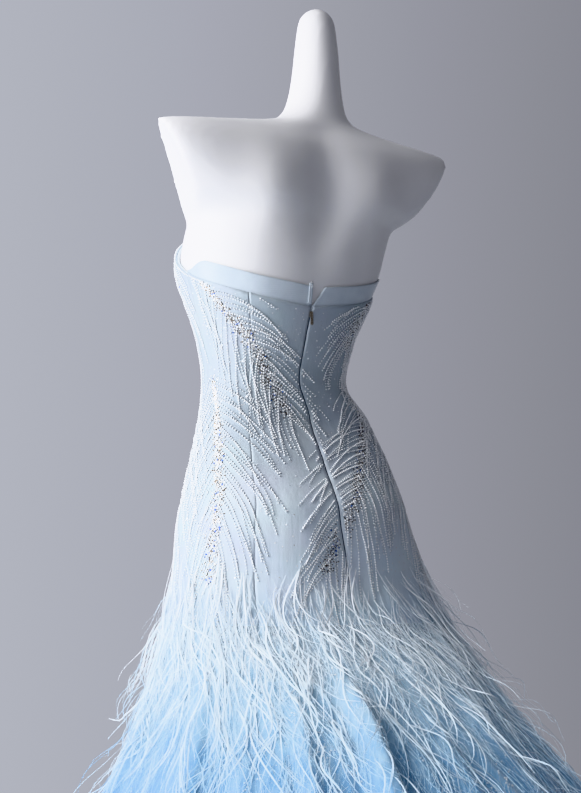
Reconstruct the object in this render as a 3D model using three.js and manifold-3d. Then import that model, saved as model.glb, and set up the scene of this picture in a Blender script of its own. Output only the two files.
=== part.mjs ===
// A strapless fit-and-flare ball gown, zipped up the centre back, on a limbless dress form with a
// pole stand. Millimetres, +Z up. The origin is the centre of the stand's underside, on the floor.
// The front of the gown faces -Y and its wearer's left is +X.
//
// Every cloth piece is a thin wall on one surface, surfaceAt(turn, z). A turn runs round the body
// in degrees: 0 is the centre front, 90 the left side, 180 the centre back, 270 the right side.
import * as THREE from "three";
import { mergeVertices } from "three/addons/utils/BufferGeometryUtils.js";
import Module from "manifold-3d";

// ---- driving sizes -----------------------------------------------------------------------------

const HEM_Z = 4; // the hem clears the floor
const HIP_SEAM_Z = 690; // where the skirt is set on to the long bodice
const ZIP_END_Z = 742;
const ZIP_TAPE_END_Z = 718;
const CLOTH = 1.6; // tulle over satin
const SKIRT_CLOTH = 2; // several layers of tulle
const TRIM_CLOTH = 1.2; // facing, zip tape and hook tab
const SEAM_GAP = 0.3;
const LAYER_GAP = 0.35; // between a piece and what lies on it
const FORM_INSET = 5; // from the gown's outer face to the dress form
const ZIP_OPENING = 1.8; // between the two folded edges over the zip
const ZIP_TAPE_WIDTH = 13;
const DEGREE = Math.PI / 180;

// The gown's outer face as stacked sections, and above 1300 the bare form's. half is half the width,
// front and back the depths from the section's centre (x, y), and power its squareness, 2 an ellipse.
const SECTIONS = [
  { z: 0, half: 560, front: 345, back: 850, x: -74, y: 48, power: 2 },
  { z: 110, half: 512, front: 302, back: 755, x: -74, y: 48, power: 2 },
  { z: 220, half: 456, front: 256, back: 652, x: -72, y: 46, power: 2 },
  { z: 330, half: 400, front: 218, back: 540, x: -68, y: 42, power: 2 },
  { z: 430, half: 345, front: 190, back: 432, x: -62, y: 36, power: 2 },
  { z: 520, half: 297, front: 168, back: 336, x: -57, y: 30, power: 2 },
  { z: 610, half: 257, front: 150, back: 244, x: -52, y: 22, power: 2.1 },
  { z: 690, half: 226, front: 139, back: 162, x: -43, y: 14, power: 2.2 },
  { z: 770, half: 203, front: 132, back: 134, x: -36, y: 8, power: 2.3 },
  { z: 850, half: 182, front: 124, back: 136, x: -24, y: 5, power: 2.3 },
  { z: 930, half: 162, front: 108, back: 100, x: -23, y: 0, power: 2.35 },
  { z: 1000, half: 139, front: 96, back: 74, x: -17, y: -5, power: 2.35 },
  { z: 1060, half: 115, front: 91, back: 77, x: 0, y: -10, power: 2.25 },
  { z: 1120, half: 125, front: 96, back: 96, x: -1, y: -10, power: 2.2 },
  { z: 1180, half: 146, front: 110, back: 112, x: -4, y: -6, power: 2.3 },
  { z: 1250, half: 168, front: 126, back: 120, x: -9, y: 0, power: 2.3 },
  { z: 1300, half: 170, front: 118, back: 116, x: -15, y: 10, power: 2.4 },
  { z: 1335, half: 214, front: 94, back: 104, x: -17, y: 24, power: 2.4 },
  { z: 1385, half: 258, front: 64, back: 82, x: -17, y: 44, power: 2.4 },
  { z: 1418, half: 272, front: 50, back: 62, x: -18, y: 54, power: 2.3 },
  { z: 1434, half: 256, front: 40, back: 50, x: -20, y: 55, power: 2.2 },
  { z: 1443, half: 196, front: 42, back: 46, x: -28, y: 52, power: 2.1 },
  { z: 1453, half: 118, front: 44, back: 46, x: -36, y: 48, power: 2 },
  { z: 1466, half: 68, front: 44, back: 48, x: -39, y: 41, power: 2 },
  { z: 1486, half: 50, front: 42, back: 44, x: -41, y: 43, power: 2 },
  { z: 1530, half: 40, front: 39, back: 39, x: -42, y: 46, power: 2 },
  { z: 1590, half: 34, front: 34, back: 34, x: -42, y: 48, power: 2 },
  { z: 1632, half: 28, front: 28, back: 28, x: -42, y: 48, power: 2 },
  { z: 1648, half: 16, front: 16, back: 16, x: -42, y: 48, power: 2 },
];

// Soft swellings of the surface: a height at (x from the section's centre, z), on one face, and how
// far each fades across and up. The cups are the bodice's, the others the form's moulded back.
const SWELLINGS = [
  { face: "front", x: 92, z: 1246, height: 46, across: 50, up: 56 },
  { face: "back", x: 92, z: 1338, height: 12, across: 46, up: 62 },
  { face: "back", x: 0, z: 1335, height: -12, across: 30, up: 90 },
  { face: "back", x: 66, z: 800, height: 9, across: 60, up: 80 },
];

// The top edge of the beaded bodice, the same on both sides.
const NECKLINE = [
  { turn: 0, z: 1236 },
  { turn: 18, z: 1258 },
  { turn: 38, z: 1292 },
  { turn: 56, z: 1274 },
  { turn: 76, z: 1238 },
  { turn: 96, z: 1210 },
  { turn: 122, z: 1191 },
  { turn: 152, z: 1174 },
  { turn: 180, z: 1164 },
];

// The skirt's folds: the turn of each crest, its half width in degrees, its depth at the hem and
// the height at which it starts.
const FOLDS = [
  { crest: 6, spread: 12, depth: 34, top: 560 },
  { crest: 30, spread: 12, depth: 42, top: 590 },
  { crest: 52, spread: 11, depth: 36, top: 560 },
  { crest: 73, spread: 11, depth: 44, top: 600 },
  { crest: 93, spread: 10, depth: 38, top: 600 },
  { crest: 112, spread: 10, depth: 50, top: 630 },
  { crest: 130, spread: 8, depth: 36, top: 560 },
  { crest: 146, spread: 9, depth: 44, top: 600 },
  { crest: 160, spread: 8, depth: 62, top: 650 },
  { crest: 176, spread: 9, depth: 46, top: 580 },
  { crest: 191, spread: 8, depth: 56, top: 640 },
  { crest: 206, spread: 9, depth: 44, top: 580 },
  { crest: 223, spread: 9, depth: 54, top: 620 },
  { crest: 241, spread: 10, depth: 42, top: 570 },
  { crest: 261, spread: 11, depth: 48, top: 610 },
  { crest: 283, spread: 12, depth: 38, top: 570 },
  { crest: 307, spread: 12, depth: 42, top: 590 },
  { crest: 331, spread: 13, depth: 36, top: 570 },
];

// The panels, by the turns of their seams. The bodice runs from the hip seam to the neckline and
// the skirt from the hem to the hip seam.
const BODICE_PANELS = [
  { name: "bodice_front", from: -34, to: 34, steps: 12 },
  { name: "bodice_side_front_left", from: 34, to: 88, steps: 8 },
  { name: "bodice_side_back_left", from: 88, to: 140, steps: 8 },
  { name: "bodice_back_left", from: 140, to: 180, steps: 6 },
  { name: "bodice_back_right", from: 180, to: 220, steps: 6 },
  { name: "bodice_side_back_right", from: 220, to: 272, steps: 8 },
  { name: "bodice_side_front_right", from: 272, to: 326, steps: 8 },
];
const BODICE_ROWS = [HIP_SEAM_Z, 770, 850, 930, 1000, 1060]; // up to the waist
const CUP_ROWS = [0.34, 0.6, 0.8, 1]; // from the waist up to the neckline, as shares of the way
const SKIRT_PANELS = [
  { name: "skirt_front", from: -52, to: 52, steps: 24 },
  { name: "skirt_side_left", from: 52, to: 121, steps: 18 },
  { name: "skirt_back_left", from: 121, to: 180, steps: 22 },
  { name: "skirt_back_right", from: 180, to: 239, steps: 22 },
  { name: "skirt_side_right", from: 239, to: 308, steps: 18 },
];
const SKIRT_ROWS = [HEM_Z, 110, 220, 330, 430, 520, 610, HIP_SEAM_Z];

// The rows of feathers: the height of the band that each is bound to, and its number of locks.
const FEATHER_ROWS = [
  { z: 704, locks: 36 },
  { z: 588, locks: 38 },
  { z: 470, locks: 40 },
];
const FEATHER = { band: 5, bandThickness: 1.6, gap: 0.8, fall: 106, lift: 32, root: 2.6, drift: 2.4 };

// The facing stands above the beaded edge round the back. Its ends splay apart over the zip.
const FACING = { above: 30, below: 9, gap: 0.5 };
const FACING_SPLAY = { left: 5, right: 24 }; // from the centre back, at the top
const HOOK_TAB = { width: 8, height: 31, steps: 2 };

const SLIDER = { width: 4.6, depth: 2.2, height: 9, z: 1154, bridgeWidth: 1 };
const BRIDGE = { inner: 1.9, outer: 2.8 };
const PULL = { length: 17, eyeWidth: 4.2, footWidth: 5.2, thickness: 0.8, rim: 0.45, slot: 3.3, slotWidth: 1.9 };
const HINGE_OUT = 0.95; // from the slider's face to the pull's axis

const FORM_BOTTOM_Z = 770;
const FORM_TOP_Z = 1653;
const FORM_STEPS = 36;
const CUP_PAD = 0.22; // the share of the cups that is padding
const ARM_CUT = { topX: 246, topZ: 1428, lowX: 179, lowZ: 1306, x: -17, y: 50, turn: 15, below: 5 };
const BASE = { radius: 175, thickness: 9, edge: 3 };
const POLE = { radius: 14, collarRadius: 26, collarHeight: 22 };
const ROUND_STEPS = 28;

// ---- the surface -------------------------------------------------------------------------------

// A smooth curve through a table's rows that never overshoots them.
function curveOf(rows, along, value) {
  const xs = rows.map((row) => row[along]);
  const ys = rows.map((row) => row[value]);
  const slopes = xs.slice(1).map((x, i) => (ys[i + 1] - ys[i]) / (x - xs[i]));
  const tangents = xs.map((_, i) => {
    const before = slopes[Math.max(0, i - 1)];
    const after = slopes[Math.min(slopes.length - 1, i)];
    return before * after <= 0 ? 0 : (2 * before * after) / (before + after);
  });
  return (at) => {
    const x = Math.min(Math.max(at, xs[0]), xs[xs.length - 1]);
    const i = Math.max(0, Math.min(xs.length - 2, xs.findIndex((v) => v > x) - 1));
    const k = x >= xs[xs.length - 1] ? xs.length - 2 : i;
    const span = xs[k + 1] - xs[k];
    const t = (x - xs[k]) / span;
    const s = 1 - t;
    return (
      ys[k] * (1 + 2 * t) * s * s +
      ys[k + 1] * (3 - 2 * t) * t * t +
      (tangents[k] * s - tangents[k + 1] * t) * t * s * span
    );
  };
}

const section = Object.fromEntries(
  ["half", "front", "back", "x", "y", "power"].map((key) => [key, curveOf(SECTIONS, "z", key)]),
);
const necklineCurve = curveOf(NECKLINE, "turn", "z");

function necklineZ(turn) {
  const round = ((turn % 360) + 360) % 360;
  return necklineCurve(round > 180 ? 360 - round : round);
}

function turnBetween(a, b) {
  return ((((a - b) % 360) + 540) % 360) - 180;
}

// How far the skirt's folds stand out at a turn and a height.
function foldOut(turn, z) {
  return FOLDS.reduce((sum, fold) => {
    const away = Math.abs(turnBetween(turn, fold.crest)) / fold.spread;
    if (away >= 1 || z >= fold.top) return sum;
    const grown = ((fold.top - z) / fold.top) ** 1.15;
    return sum + fold.depth * grown * Math.cos((away * Math.PI) / 2) ** 2;
  }, 0);
}

function swellingOut(side, x, z) {
  return SWELLINGS.reduce((sum, s) => {
    if (s.face !== side) return sum;
    const up = ((z - s.z) / s.up) ** 2;
    const places = s.x ? [-s.x, s.x] : [0];
    return sum + places.reduce((all, at) => all + s.height * Math.exp(-(((x - at) / s.across) ** 2) - up), 0);
  }, 0);
}

function surfaceAt(turn, z) {
  const angle = turn * DEGREE;
  const sine = Math.sin(angle);
  const cosine = Math.cos(angle);
  const power = 2 / section.power(z);
  const front = cosine > 0;
  const depth = front ? section.front(z) : section.back(z);
  const x = section.half(z) * Math.sign(sine) * Math.abs(sine) ** power;
  const y = -depth * Math.sign(cosine) * Math.abs(cosine) ** power;
  const swell = swellingOut(front ? "front" : "back", x, z) * Math.min(1, Math.abs(cosine) * 3);
  const out = foldOut(turn, z);
  const across = new THREE.Vector2(sine / section.half(z), -cosine / depth).normalize();
  return new THREE.Vector3(
    section.x(z) + x + out * across.x,
    section.y(z) + y - Math.sign(cosine) * swell + out * across.y,
    z,
  );
}

function outwardAt(turn, z) {
  const along = surfaceAt(turn + 0.5, z).sub(surfaceAt(turn - 0.5, z));
  const up = surfaceAt(turn, z + 3).sub(surfaceAt(turn, z - 3));
  return along.cross(up).normalize();
}

// A point of the surface moved out by some millimetres, or in if that is negative.
function offsetAt(turn, z, out) {
  return surfaceAt(turn, z).addScaledVector(outwardAt(turn, z), out);
}

// How many degrees of turn a length makes along the surface.
function degreesFor(length, turn, z) {
  return length / surfaceAt(turn + 0.5, z).distanceTo(surfaceAt(turn - 0.5, z));
}

// ---- solids ------------------------------------------------------------------------------------

const wasm = await Module();
wasm.setup();

function solidOf(geometry) {
  const bare = geometry.clone();
  bare.deleteAttribute("normal");
  bare.deleteAttribute("uv");
  const merged = mergeVertices(bare, 1e-3);
  return new wasm.Manifold(
    new wasm.Mesh({
      numProp: 3,
      vertProperties: merged.attributes.position.array,
      triVerts: new Uint32Array(merged.index.array),
    }),
  );
}

function geometryOf(solid) {
  const mesh = solid.getMesh();
  const points = new Float32Array(mesh.numVert * 3);
  for (let i = 0; i < mesh.numVert; i++) {
    points.set(mesh.vertProperties.subarray(i * mesh.numProp, i * mesh.numProp + 3), i * 3);
  }
  return new THREE.BufferGeometry()
    .setAttribute("position", new THREE.BufferAttribute(points, 3))
    .setIndex(new THREE.BufferAttribute(mesh.triVerts, 1));
}

function geometryFrom(points, faces) {
  const geometry = new THREE.BufferGeometry().setFromPoints(points);
  geometry.setIndex(faces);
  return geometry;
}

// A wall between an outer and an inner grid of points, given as functions of a column and a row.
// A closed wall goes right round, so its last column is its first.
function wall(columns, rows, outer, inner, closed = false) {
  const across = closed ? columns : columns + 1;
  const points = [];
  for (const face of [outer, inner]) {
    for (let i = 0; i < across; i++) {
      for (let j = 0; j <= rows; j++) points.push(face(i, j));
    }
  }
  const at = (side, i, j) => side * across * (rows + 1) + (i % across) * (rows + 1) + j;
  const faces = [];
  const quad = (a, b, c, d) => faces.push(a, b, c, a, c, d);
  for (let i = 0; i < columns; i++) {
    for (let j = 0; j < rows; j++) {
      quad(at(0, i, j), at(0, i + 1, j), at(0, i + 1, j + 1), at(0, i, j + 1));
      quad(at(1, i, j), at(1, i, j + 1), at(1, i + 1, j + 1), at(1, i + 1, j));
    }
    quad(at(0, i, 0), at(1, i, 0), at(1, i + 1, 0), at(0, i + 1, 0));
    quad(at(0, i, rows), at(0, i + 1, rows), at(1, i + 1, rows), at(1, i, rows));
  }
  for (let j = 0; j < rows && !closed; j++) {
    quad(at(0, 0, j), at(0, 0, j + 1), at(1, 0, j + 1), at(1, 0, j));
    quad(at(0, columns, j), at(1, columns, j), at(1, columns, j + 1), at(0, columns, j + 1));
  }
  return geometryFrom(points, faces);
}

// Half the gap at a panel's edge, in degrees: a seam's, or the zip's opening at the centre back.
function edgeGap(turn, z) {
  return degreesFor((turn === 180 && z > ZIP_END_Z ? ZIP_OPENING : SEAM_GAP) / 2, turn, z);
}

const BODICE_TOP = BODICE_ROWS.length - 1 + CUP_ROWS.length;

function bodiceHeight(turn, j) {
  if (j < BODICE_ROWS.length) return BODICE_ROWS[j] + (j ? 0 : SEAM_GAP / 2);
  const waist = BODICE_ROWS[BODICE_ROWS.length - 1];
  return waist + (necklineZ(turn) - waist) * CUP_ROWS[j - BODICE_ROWS.length];
}

function skirtHeight(turn, j) {
  return SKIRT_ROWS[j] - (j === SKIRT_ROWS.length - 1 ? SEAM_GAP / 2 : 0);
}

// A point of a panel's grid, in column i and row j, moved out from the surface.
function panelPoint({ from, to, steps }, heightAt, i, j, out) {
  const low = from + edgeGap(from, heightAt(from, j));
  const high = to - edgeGap(to, heightAt(to, j));
  const turn = low + ((high - low) * i) / steps;
  return offsetAt(turn, heightAt(turn, j), out);
}

function panelWall(row, heightAt, rows, thickness) {
  return wall(
    row.steps,
    rows,
    (i, j) => panelPoint(row, heightAt, i, j, 0),
    (i, j) => panelPoint(row, heightAt, i, j, -thickness),
  );
}

function bodicePanel(row) {
  return panelWall(row, bodiceHeight, BODICE_TOP, CLOTH);
}

function skirtPanel(row) {
  return panelWall(row, skirtHeight, SKIRT_ROWS.length - 1, SKIRT_CLOTH);
}

// Half of the facing, on the left or the right, just inside the bodice's top edge. It has the
// columns of the two panels that it lies in.
function facingHalf(side) {
  const names = side === "left" ? ["bodice_side_back_left", "bodice_back_left"] : ["bodice_back_right", "bodice_side_back_right"];
  const columns = BODICE_PANELS.filter((row) => names.includes(row.name)).flatMap((row, k) =>
    Array.from({ length: row.steps + 1 }, (_, i) => ({ row, i })).slice(k),
  );
  const seam = columns[side === "left" ? 0 : columns.length - 1].row[side === "left" ? "from" : "to"];
  const outer = -CLOTH - FACING.gap;
  const placed = (k, j, out) => {
    const { row, i } = columns[k];
    const edge = panelPoint(row, bodiceHeight, i, BODICE_TOP, out);
    if (j === 1) return edge;
    if (j === 0) {
      const lower = panelPoint(row, bodiceHeight, i, BODICE_TOP - 1, out);
      return edge.lerp(lower, FACING.below / (edge.z - lower.z));
    }
    const turn = row.from + ((row.to - row.from) * i) / row.steps;
    const z = necklineZ(turn) + FACING.above;
    const drawn = 1 - degreesFor(FACING_SPLAY[side], 180, z) / Math.abs(180 - seam);
    return offsetAt(seam + (turn - seam) * drawn, z, out);
  };
  return wall(columns.length - 1, 2, (k, j) => placed(k, j, outer), (k, j) => placed(k, j, outer - TRIM_CLOTH));
}

// The tab that carries the hook, upright on the left end of the facing.
function hookTab() {
  const foot = necklineZ(170) + LAYER_GAP;
  const outer = -CLOTH - FACING.gap + LAYER_GAP + TRIM_CLOTH;
  const placed = (i, j, out) => {
    const z = foot + (HOOK_TAB.height * j) / HOOK_TAB.steps;
    const inset = (FACING_SPLAY.left * (j + 1)) / 3 + (HOOK_TAB.width * (HOOK_TAB.steps - i)) / HOOK_TAB.steps;
    return offsetAt(180 - degreesFor(inset, 180, z), z, out);
  };
  return wall(
    HOOK_TAB.steps,
    HOOK_TAB.steps,
    (i, j) => placed(i, j, outer),
    (i, j) => placed(i, j, outer - TRIM_CLOTH),
  );
}

// The zip's tape, behind the two folded edges, from just above the hip seam up to the facing.
function zipTape() {
  const left = BODICE_PANELS.find((row) => row.name === "bodice_back_left");
  const right = BODICE_PANELS.find((row) => row.name === "bodice_back_right");
  const top = necklineZ(180) - FACING.below - LAYER_GAP;
  const heights = [
    ZIP_TAPE_END_Z,
    ...Array.from({ length: BODICE_TOP - 1 }, (_, j) => bodiceHeight(180, j + 1)),
    top,
  ];
  const edgePoint = (row, near, next, k, out) => {
    const j = Math.min(k, BODICE_TOP - 1);
    const pointIn = (i) => {
      const low = panelPoint(row, bodiceHeight, i, j, out);
      const high = panelPoint(row, bodiceHeight, i, j + 1, out);
      return low.lerp(high, (heights[k] - low.z) / (high.z - low.z));
    };
    const at = pointIn(near);
    return at.lerp(pointIn(next), ZIP_TAPE_WIDTH / 2 / at.distanceTo(pointIn(next)));
  };
  const placed = (i, k, out) =>
    i ? edgePoint(right, 0, 1, k, out) : edgePoint(left, left.steps, left.steps - 1, k, out);
  const outer = -CLOTH - FACING.gap;
  return wall(
    1,
    heights.length - 1,
    (i, k) => placed(i, k, outer),
    (i, k) => placed(i, k, outer - TRIM_CLOTH),
  );
}

// One feather lock: a three-sided taper that springs from its band, hangs clear and curls in. It
// hangs from a point of the band at a turn.
function featherLock(root, turn, number) {
  const lean = Math.sin(number * 2.4) * FEATHER.drift;
  const length = FEATHER.fall * (0.86 + 0.14 * Math.cos(number * 1.7));
  const lift = FEATHER.lift * (0.72 + 0.28 * Math.cos(number * 3.1 + root.z));
  const stations = [
    { down: 0, out: 0, thick: 1 },
    { down: 0.42, out: 0.75 * lift, thick: 1.25 },
    { down: 0.76, out: lift, thick: 0.8 },
  ];
  const centreAt = (down, out) =>
    down ? offsetAt(turn + lean * down, root.z - length * down, FEATHER.gap + out) : root.clone();
  const points = [];
  for (const { down, out, thick } of stations) {
    const centre = centreAt(down, out);
    const at = turn + lean * down;
    const away = outwardAt(at, centre.z);
    const side = surfaceAt(at + 0.5, centre.z).sub(surfaceAt(at - 0.5, centre.z)).normalize();
    const radius = FEATHER.root * thick;
    const flat = down === 0 ? 0.22 : 0.6; // a lock is wider than it is deep
    for (let k = 0; k < 3; k++) {
      const angle = (k * 120 + 90) * DEGREE;
      points.push(
        centre
          .clone()
          .addScaledVector(side, radius * Math.cos(angle))
          .addScaledVector(away, flat * radius * Math.sin(angle)),
      );
    }
  }
  points.push(centreAt(1, lift * 0.8));
  const faces = [0, 2, 1];
  for (let ring = 0; ring < 2; ring++) {
    for (let k = 0; k < 3; k++) {
      const a = ring * 3 + k;
      const b = ring * 3 + ((k + 1) % 3);
      faces.push(a, b, b + 3, a, b + 3, a + 3);
    }
  }
  for (let k = 0; k < 3; k++) faces.push(6 + k, 6 + ((k + 1) % 3), 9);
  return geometryFrom(points, faces);
}

// The columns of the panels all the way round, bodice's or skirt's, that a band at this height
// crosses: each gives the point at a height on its panel's outer face, moved out.
function columnsAt(z) {
  const onBodice = z > HIP_SEAM_Z;
  const heightAt = onBodice ? bodiceHeight : skirtHeight;
  return (onBodice ? BODICE_PANELS : SKIRT_PANELS).flatMap((row) => {
    const j = onBodice ? 0 : SKIRT_ROWS.findIndex((top) => top > z) - 1;
    return Array.from({ length: row.steps + 1 }, (_, i) => ({
      turn: row.from + ((row.to - row.from) * i) / row.steps,
      pointAt: (height, out) => {
        const low = panelPoint(row, heightAt, i, j, out);
        const high = panelPoint(row, heightAt, i, j + 1, out);
        return low.lerp(high, (height - low.z) / (high.z - low.z));
      },
    }));
  });
}

// A row of feathers: a narrow band round the skirt, with its locks fused to it.
function featherRow({ z, locks }) {
  const half = FEATHER.band / 2;
  const columns = columnsAt(z);
  const placed = (i, j, out) => columns[i % columns.length].pointAt(z - half + 2 * half * j, out);
  const outer = FEATHER.gap + FEATHER.bandThickness;
  const band = wall(columns.length, 1, (i, j) => placed(i, j, outer), (i, j) => placed(i, j, FEATHER.gap), true);
  let row = solidOf(band);
  for (let k = 0; k < locks; k++) {
    const { turn, pointAt } = columns[Math.round((k * columns.length) / locks)];
    const root = pointAt(z - 0.4 * half, FEATHER.gap + 0.6 * FEATHER.bandThickness);
    row = row.add(solidOf(featherLock(root, turn, k)));
  }
  return geometryOf(row);
}

// ---- the zip's slider and pull -----------------------------------------------------------------

// A flat outline in (width, height), extruded and turned to stand up, its thickness along Y.
function upright(shape, thickness) {
  const geometry = new THREE.ExtrudeGeometry(shape, { depth: thickness, bevelEnabled: false, curveSegments: 6 });
  return geometry.translate(0, 0, -thickness / 2).rotateX(Math.PI / 2);
}

function sliderGeometry() {
  const { width, depth, height, bridgeWidth } = SLIDER;
  const body = new THREE.Shape();
  body.moveTo(-width * 0.32, -height * 0.6);
  body.lineTo(width * 0.32, -height * 0.6);
  body.quadraticCurveTo(width / 2, -height * 0.2, width / 2, height * 0.25);
  body.quadraticCurveTo(width / 2, height * 0.4, 0, height * 0.4);
  body.quadraticCurveTo(-width / 2, height * 0.4, -width / 2, height * 0.25);
  body.quadraticCurveTo(-width / 2, -height * 0.2, -width * 0.32, -height * 0.6);
  const block = upright(body, depth).translate(0, -depth / 2, 0);
  const arch = new THREE.Shape();
  arch.absarc(0, 0, BRIDGE.outer, -Math.PI / 2, Math.PI / 2, false);
  arch.lineTo(-0.5, BRIDGE.outer);
  arch.lineTo(-0.5, BRIDGE.inner);
  arch.absarc(0, 0, BRIDGE.inner, Math.PI / 2, -Math.PI / 2, true);
  arch.lineTo(-0.5, -BRIDGE.inner);
  arch.lineTo(-0.5, -BRIDGE.outer);
  // The arch is drawn in (out, up) and extruded along its width, which is turned to lie along X.
  const bridge = new THREE.ExtrudeGeometry(arch, { depth: bridgeWidth, bevelEnabled: false, curveSegments: 8 })
    .translate(0, 0, -bridgeWidth / 2)
    .applyMatrix4(new THREE.Matrix4().set(0, 0, 1, 0, 1, 0, 0, 0, 0, 1, 0, 0, 0, 0, 0, 1));
  return geometryOf(solidOf(block).add(solidOf(bridge)));
}

function pullGeometry() {
  const { length, eyeWidth, footWidth, thickness, rim, slot, slotWidth } = PULL;
  const plate = new THREE.Shape();
  plate.moveTo(-eyeWidth / 2, rim);
  plate.lineTo(-eyeWidth / 2, -slot - rim);
  plate.absarc(0, -length + footWidth / 2, footWidth / 2, Math.PI, 2 * Math.PI, false);
  plate.lineTo(eyeWidth / 2, -slot - rim);
  plate.lineTo(eyeWidth / 2, rim);
  const eye = new THREE.Path();
  eye.moveTo(-slotWidth / 2, -rim);
  eye.lineTo(slotWidth / 2, -rim);
  eye.lineTo(slotWidth / 2, -slot);
  eye.lineTo(-slotWidth / 2, -slot);
  plate.holes.push(eye);
  return upright(plate, thickness);
}

// ---- the dress form and its stand --------------------------------------------------------------

function formSolid() {
  const heights = [FORM_BOTTOM_Z, ...SECTIONS.map((row) => row.z).filter((z) => z > FORM_BOTTOM_Z)];
  const points = [];
  for (const z of heights) {
    const inset = FORM_INSET * Math.min(1, Math.max(0, (1330 - z) / 30));
    for (let i = 0; i < FORM_STEPS; i++) {
      const turn = (360 * i) / FORM_STEPS;
      const point = surfaceAt(turn, z);
      // Under the padded cups the form is lower.
      const under = turn < 90 || turn > 270 ? CUP_PAD * swellingOut("front", point.x - section.x(z), z) : 0;
      const inward = outwardAt(turn, z).setZ(0).normalize();
      points.push(point.addScaledVector(inward, -inset - under));
    }
  }
  const rings = heights.length;
  const top = points.push(new THREE.Vector3(section.x(1648), section.y(1648), FORM_TOP_Z)) - 1;
  const bottom = points.push(new THREE.Vector3(section.x(770), section.y(770), FORM_BOTTOM_Z)) - 1;
  const faces = [];
  for (let i = 0; i < FORM_STEPS; i++) {
    const next = (i + 1) % FORM_STEPS;
    for (let j = 0; j + 1 < rings; j++) {
      const a = j * FORM_STEPS + i;
      const b = j * FORM_STEPS + next;
      faces.push(a, b, b + FORM_STEPS, a, b + FORM_STEPS, a + FORM_STEPS);
    }
    faces.push(bottom, next, i, top, (rings - 1) * FORM_STEPS + i, (rings - 1) * FORM_STEPS + next);
  }
  return solidOf(geometryFrom(points, faces));
}

// The form's arms end at the shoulders in flat faces that slant in to the armpits, where they stop,
// and turn a little to the front.
function formGeometry() {
  const { topX, topZ, lowX, lowZ, x, y, turn, below } = ARM_CUT;
  const size = 400;
  const slant = Math.atan2(topX - lowX, topZ - lowZ);
  const foot = Math.hypot(topX - lowX, topZ - lowZ) / 2 + below;
  let form = formSolid();
  for (const side of [-1, 1]) {
    const block = new THREE.BoxGeometry(size, size, size)
      .translate((side * size) / 2, 0, size / 2 - foot)
      .rotateY(side * slant)
      .rotateZ(-side * turn * DEGREE)
      .translate(x + (side * (topX + lowX)) / 2, y, (topZ + lowZ) / 2);
    form = form.subtract(solidOf(block));
  }
  return geometryOf(form);
}

function turned(profile) {
  return new THREE.LatheGeometry(
    profile.map(([radius, z]) => new THREE.Vector2(radius, z)),
    ROUND_STEPS,
  ).rotateX(Math.PI / 2);
}

function baseGeometry() {
  const { radius, thickness, edge } = BASE;
  return turned([
    [0, 0],
    [radius, 0],
    [radius, thickness - edge],
    [radius - edge, thickness],
    [0, thickness],
  ]);
}

function poleGeometry() {
  const low = BASE.thickness + SEAM_GAP;
  const high = FORM_BOTTOM_Z - SEAM_GAP;
  const { radius, collarRadius, collarHeight } = POLE;
  return turned([
    [0, low],
    [collarRadius, low],
    [collarRadius, low + collarHeight],
    [radius, low + collarHeight],
    [radius, high - collarHeight],
    [collarRadius, high - collarHeight],
    [collarRadius, high],
    [0, high],
  ]);
}

// ---- the object --------------------------------------------------------------------------------

const ICE_SATIN = new THREE.MeshStandardMaterial({ color: 0xcfe0ea, roughness: 0.45 });
const SKY_TULLE = new THREE.MeshStandardMaterial({ color: 0x9cc3e6, roughness: 0.7 });
const FACING_SATIN = new THREE.MeshStandardMaterial({ color: 0xb9cfdb, roughness: 0.4 });
const FEATHER_WHITE = new THREE.MeshStandardMaterial({ color: 0xdfeaf4, roughness: 0.9 });
const ZIP_TAPE_BLUE = new THREE.MeshStandardMaterial({ color: 0x6f7f96, roughness: 0.8 });
const ZIP_METAL = new THREE.MeshStandardMaterial({ color: 0x6b6660, roughness: 0.35, metalness: 0.8 });
const FORM_WHITE = new THREE.MeshStandardMaterial({ color: 0xf1f2f4, roughness: 0.5 });
const STAND_STEEL = new THREE.MeshStandardMaterial({ color: 0xd8dadd, roughness: 0.3, metalness: 0.9 });

const gown = new THREE.Group();

function add(name, geometry, material, parent = gown) {
  const mesh = new THREE.Mesh(geometry, material);
  mesh.name = name;
  parent.add(mesh);
  return mesh;
}

for (const row of BODICE_PANELS) add(row.name, bodicePanel(row), ICE_SATIN);
for (const row of SKIRT_PANELS) add(row.name, skirtPanel(row), SKY_TULLE);
add("facing_left", facingHalf("left"), FACING_SATIN);
add("facing_right", facingHalf("right"), FACING_SATIN);
add("hook_tab", hookTab(), FACING_SATIN);
add("zip_tape", zipTape(), ZIP_TAPE_BLUE);
FEATHER_ROWS.forEach((row, k) => add(`feather_row_${k + 1}`, featherRow(row), FEATHER_WHITE));

// The slider lies on the cloth, which slopes; the pull hangs straight down from its bridge.
const sliderSeat = surfaceAt(180, SLIDER.z);
const sliderSlope = Math.atan2(
  surfaceAt(180, SLIDER.z + 5).y - surfaceAt(180, SLIDER.z - 5).y,
  10,
);
const sliderFace = LAYER_GAP + SLIDER.depth;
const slider = new THREE.Group();
slider.position.copy(sliderSeat);
slider.rotation.x = -sliderSlope;
gown.add(slider);
add("zip_slider", sliderGeometry().translate(0, sliderFace, 0), ZIP_METAL, slider);
const pull = add("zip_pull", pullGeometry(), ZIP_METAL);
slider.updateMatrix();
pull.position.set(0, sliderFace + HINGE_OUT, 0).applyMatrix4(slider.matrix);

add("dress_form", formGeometry(), FORM_WHITE);
add("stand_pole", poleGeometry(), STAND_STEEL);
add("stand_base", baseGeometry(), STAND_STEEL);

export default gown;
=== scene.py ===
"""A strapless fit-and-flare ball gown on a limbless dress form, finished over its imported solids.

Sizes are millimetres until a mesh is made. A turn runs round the body in degrees: 0 is the centre
front, 90 the wearer's left (+X), 180 the centre back and 270 the right."""

import math

import bmesh
import bpy
import numpy as np
from mathutils import Matrix, Vector


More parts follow.
